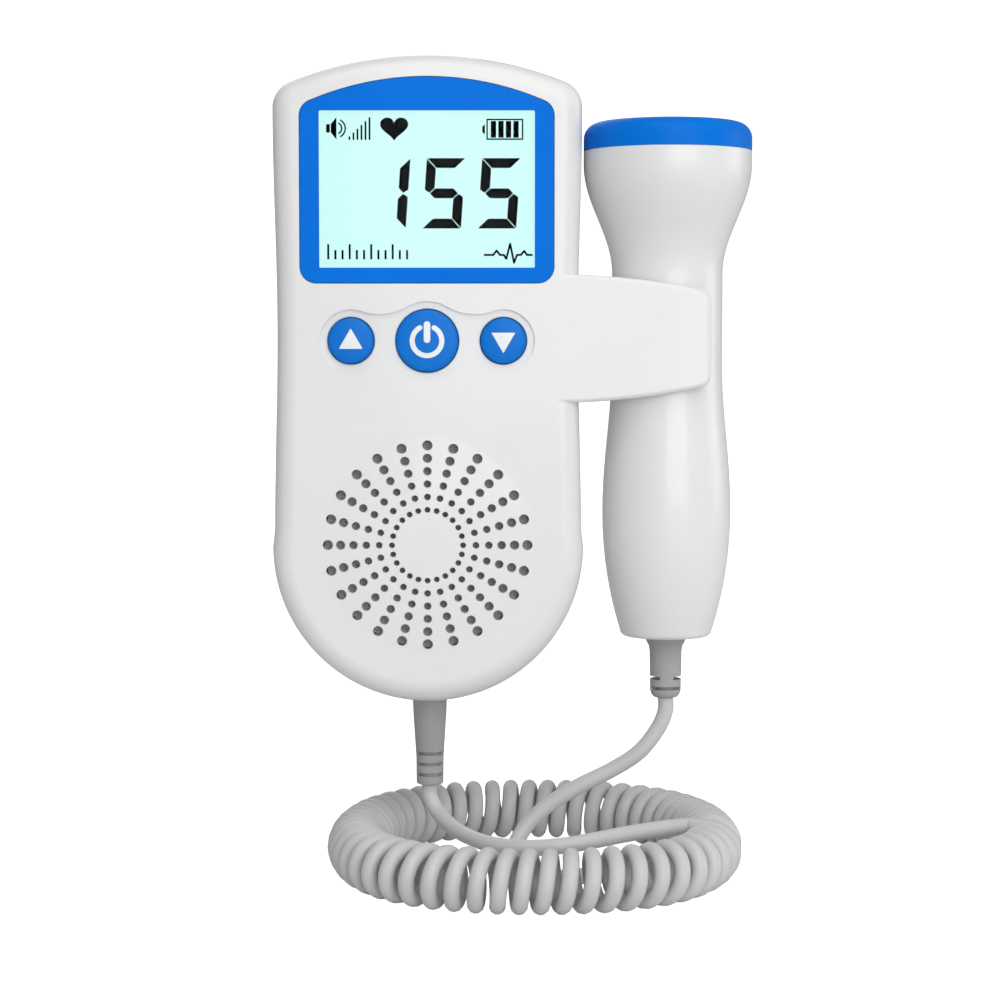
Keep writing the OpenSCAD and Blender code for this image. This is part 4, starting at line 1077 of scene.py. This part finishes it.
finish = {
    "shell": moulded("shell_white", (0.80, 0.80, 0.80), (0.785, 0.785, 0.79), 0.42,
                     Coat_Weight=0.4, Coat_Roughness=0.07),
    "bezel": moulded("bezel_blue", colour_of(2, 116, 224), colour_of(2, 112, 220), 0.42,
                     Specular_IOR_Level=0.05),
    "key": moulded("key_blue", colour_of(4, 117, 212), colour_of(3, 112, 208), 0.42,
                   Specular_IOR_Level=0.16),
    "cap": moulded("cap_blue", colour_of(2, 117, 220), colour_of(2, 112, 215), 0.4,
                   Specular_IOR_Level=0.07),
    "mark": moulded("key_mark_white", (0.86, 0.88, 0.9), (0.82, 0.84, 0.88), 0.4),
    "ink": moulded("sign_ink", (0.001, 0.002, 0.003), (0.003, 0.004, 0.005), 0.8,
                   Specular_IOR_Level=0.0),
    "sheath": moulded("lead_sheath", colour_of(206, 206, 206), colour_of(199, 199, 199), 0.42,
                      clouds=30, grain=1500),
    "relief": moulded("relief_grey", colour_of(168, 168, 168), colour_of(161, 161, 161), 0.6,
                      clouds=120, depth=8e-6),
    "dark": moulded("dark_nylon", (0.028, 0.028, 0.031), (0.04, 0.04, 0.043), 0.5),
    "diffuser": moulded("light_diffuser", (0.86, 0.86, 0.82), (0.8, 0.8, 0.77), 0.6),
    "lens": moulded("lens_silicone", (0.3, 0.34, 0.38), (0.27, 0.31, 0.35), 0.45,
                    clouds=90, Coat_Weight=0.1),
    "ceramic": moulded("crystal_ceramic", (0.6, 0.52, 0.35), (0.5, 0.43, 0.29), 0.35,
                       grain=5200, clouds=300),
    "paper": moulded("cone_paper", (0.02, 0.02, 0.02), (0.032, 0.03, 0.029), 0.85,
                     grain=900, clouds=260, depth=3e-5),
    "ferrite": moulded("magnet_ferrite", (0.055, 0.055, 0.06), (0.075, 0.074, 0.075), 0.6,
                       grain=1800, clouds=350, depth=2e-5, Metallic=0.4),
    "wire": moulded("wire_red", (0.45, 0.02, 0.02), (0.38, 0.015, 0.015), 0.4, clouds=200),
    "sleeve": moulded("cell_sleeve", (0.045, 0.05, 0.06), (0.06, 0.065, 0.078), 0.3,
                      clouds=40, Coat_Weight=0.4),
}

# %% Steel
finish["steel"], tree, shader, place = new_material("plated_steel")
stretch = add(tree, "Mapping", {"Vector": place, "Scale": (1, 1, 0.06)}).outputs[0]
group = add(tree, "Group", {"Place": stretch, "Fineness": 3000, "Roughness": 0.18},
            node_tree=drawn).outputs
tint = noise(tree, place, 180.0, 2.0)
feed(tree, shader, {
    "Base Color": blend_colour(tree, tint, (0.62, 0.62, 0.64, 1), (0.52, 0.52, 0.54, 1)),
    "Roughness": group["Roughness"], "Normal": bump(tree, group["Height"], 3e-6),
    "Metallic": 1.0})

# %% Cloth behind the grille
finish["cloth"], tree, shader, place = new_material("grille_cloth")
group = add(tree, "Group", {"Place": place, "Threads": 2400}, node_tree=weave).outputs
feed(tree, shader, {
    "Base Color": blend_colour(tree, group["Gap"], (0.36, 0.36, 0.365, 1), (0.06, 0.06, 0.06, 1)),
    "Normal": bump(tree, group["Height"], 8e-5), "Roughness": 0.85})

# %% Circuit boards
finish["board"], tree, shader, place = new_material("board_green")
cells = add(tree, "TexVoronoi", {"Vector": place, "Scale": 330.0},
            distance="CHEBYCHEV", feature="F1").outputs["Distance"]
tracks = maths(tree, "LESS_THAN", maths(tree, "ABSOLUTE", maths(tree, "SUBTRACT", cells, 0.36)), 0.035)
fibres = add(tree, "Group", {"Place": place, "Threads": 1500}, node_tree=weave).outputs
ground = blend_colour(tree, fibres["Height"], (0.008, 0.1, 0.04, 1), (0.012, 0.13, 0.05, 1))
feed(tree, shader, {"Base Color": blend_colour(tree, tracks, ground, (0.03, 0.24, 0.1, 1)),
                    "Normal": bump(tree, tracks, 3e-5), "Roughness": 0.35})

# %% Clear window and lit glass
finish["window"], tree, shader, place = new_material("window_clear")
smear = add(tree, "MapRange", {"Value": noise(tree, place, 60.0, 3.0), "To Min": 0.0,
                               "To Max": 0.008}).outputs[0]
feed(tree, shader, {"Roughness": smear, "Base Color": (1, 1, 1, 1),
                    "Transmission Weight": 1.0, "IOR": 1.09})

finish["lit"], tree, shader, place = new_material("display_lit")
apart = add(tree, "SeparateXYZ", {0: place}).outputs
pixel = 0.00042
grid = maths(tree, "MAXIMUM", *[
    maths(tree, "GREATER_THAN", maths(tree, "ABSOLUTE", maths(
        tree, "SINE", maths(tree, "MULTIPLY", apart[axis], math.pi / pixel))), 0.985)
    for axis in "XZ"])
to_middle = add(tree, "VectorMath", {0: place, 1: (0, -0.0308, window_z * MM)},
                operation="DISTANCE").outputs["Value"]
falloff = add(tree, "MapRange", {"Value": to_middle, "From Min": 0.012, "From Max": 0.028}).outputs[0]
glow = blend_colour(tree, falloff, (*colour_of(206, 254, 250), 1), (*colour_of(200, 250, 247), 1))
glow = blend_colour(tree, maths(tree, "MULTIPLY", grid, 0.05), glow, (0.3, 0.55, 0.52, 1))
feed(tree, shader, {"Emission Color": glow, "Base Color": (0.03, 0.04, 0.04, 1),
                    "Emission Strength": 0.95, "Roughness": 0.45})

# %% Dress the pieces
wears = {
    "shell": "front_cover rear_cover door_cover probe_front probe_back",
    "bezel": "bezel", "cap": "cap", "lens": "lens", "window": "clear_window",
    "lit": "display_glass", "ink": "display_signs", "sheath": "curly_lead",
    "key": "power_cap volume_up_cap volume_down_cap", "mark": "power_mark up_mark down_mark",
    "relief": "unit_relief probe_relief", "sleeve": "cell_left cell_right",
    "steel": "cover_screws spring_contacts plate_contacts board_screws speaker_frame",
    "dark": "socket key_switches crystal_carrier", "diffuser": "lcd_backlight",
    "board": "main_circuit_board probe_circuit_board", "cloth": "speaker_cloth",
    "paper": "speaker_cone", "ferrite": "speaker_magnet",
    "ceramic": "transmit_crystal receive_crystal",
    "wire": "speaker_wires battery_wires probe_wires",
}
for name, pieces in wears.items():
    for piece in pieces.split():
        slots = bpy.data.objects[piece].data.materials
        slots.clear()
        slots.append(finish[name])
for name, x in (("cell_left", -cell_x), ("cell_right", cell_x)):
    cell = bpy.data.objects[name].data
    cell.materials.append(finish["steel"])
    for face in cell.polygons:
        from_axis = math.hypot(face.center.x / MM - x, face.center.y / MM - cell_y)
        face.material_index = int(from_axis < 5.3)
print(sum(len(p.split()) for p in wears.values()), "objects dressed in", len(finish), "materials")

# %% [markdown]
# The stage: a white sweep whose floor touches the curls and which rises far
# behind, and four soft lights. The photograph's light comes from above and in
# front, and a little more from the right than from the left.

# %% Stage
def seen_more(tree, more, base):
    """A strength that is higher where the camera looks than where it lights things."""
    seen = add(tree, "LightPath").outputs["Is Camera Ray"]
    return maths(tree, "ADD", maths(tree, "MULTIPLY", seen, more), base)


floor_z, floor_end, bend_r = (ring_mid.z - curl_r - cord_d / 2) * MM, 2.2, 0.8
bm = bmesh.new()
near, far = (bm.verts.new((-4, y, floor_z)) for y in (-3, floor_end))
bm.edges.new((near, far))
bend = bmesh.ops.spin(bm, geom=[far], cent=(0, floor_end, floor_z + bend_r), axis=(1, 0, 0),
                      angle=math.radians(90), steps=24)
rise = bmesh.ops.extrude_vert_indiv(bm, verts=verts_of(bend["geom_last"]))
bmesh.ops.translate(bm, verts=rise["verts"], vec=(0, 0, 3))
across = bmesh.ops.extrude_edge_only(bm, edges=bm.edges[:])
bmesh.ops.translate(bm, vec=(8, 0, 0), verts=verts_of(across["geom"]))
sweep = to_object("floor", bm)
sweep.data.shade_smooth()
white = moulded("sweep_white", (0.72, 0.72, 0.72), (0.7, 0.7, 0.7), 0.9, grain=300, clouds=3)
tree = white.node_tree
feed(tree, tree.nodes["Principled BSDF"], {"Emission Strength": seen_more(tree, 0.9, 0.05),
                                           "Emission Color": (1, 1, 1, 1)})
sweep.data.materials.append(white)

for name, place, aim, size, power in (
        ("top_light", (0.15, -0.7, 1.3), (0.02, 0, -0.03), 1.2, 8.4),
        ("front_light", (0.6, -2.0, 0.655), (0.02, 0, 0.0), 1.6, 24.4),
        ("back_light", (-0.5, 1.6, 0.9), (0.02, 0, -0.03), 1.2, 6),
        ("side_light", (1.6, 0.25, 0.25), (0.04, 0, -0.02), 0.8, 4)):
    light = add_object(name, bpy.data.lights.new(name, "AREA"))
    light.data.size, light.data.energy = size, power
    light.location = place
    light.rotation_euler = (Vector(aim) - Vector(place)).to_track_quat("-Z", "Y").to_euler()
world = bpy.data.worlds.new("studio")
world.use_nodes = True
sky = world.node_tree
feed(sky, sky.nodes["Background"], {"Strength": seen_more(sky, 0.8, 0.233), "Color": (1, 1, 1, 1)})
bpy.context.scene.world = world
bpy.context.scene.view_settings.view_transform = "Standard"
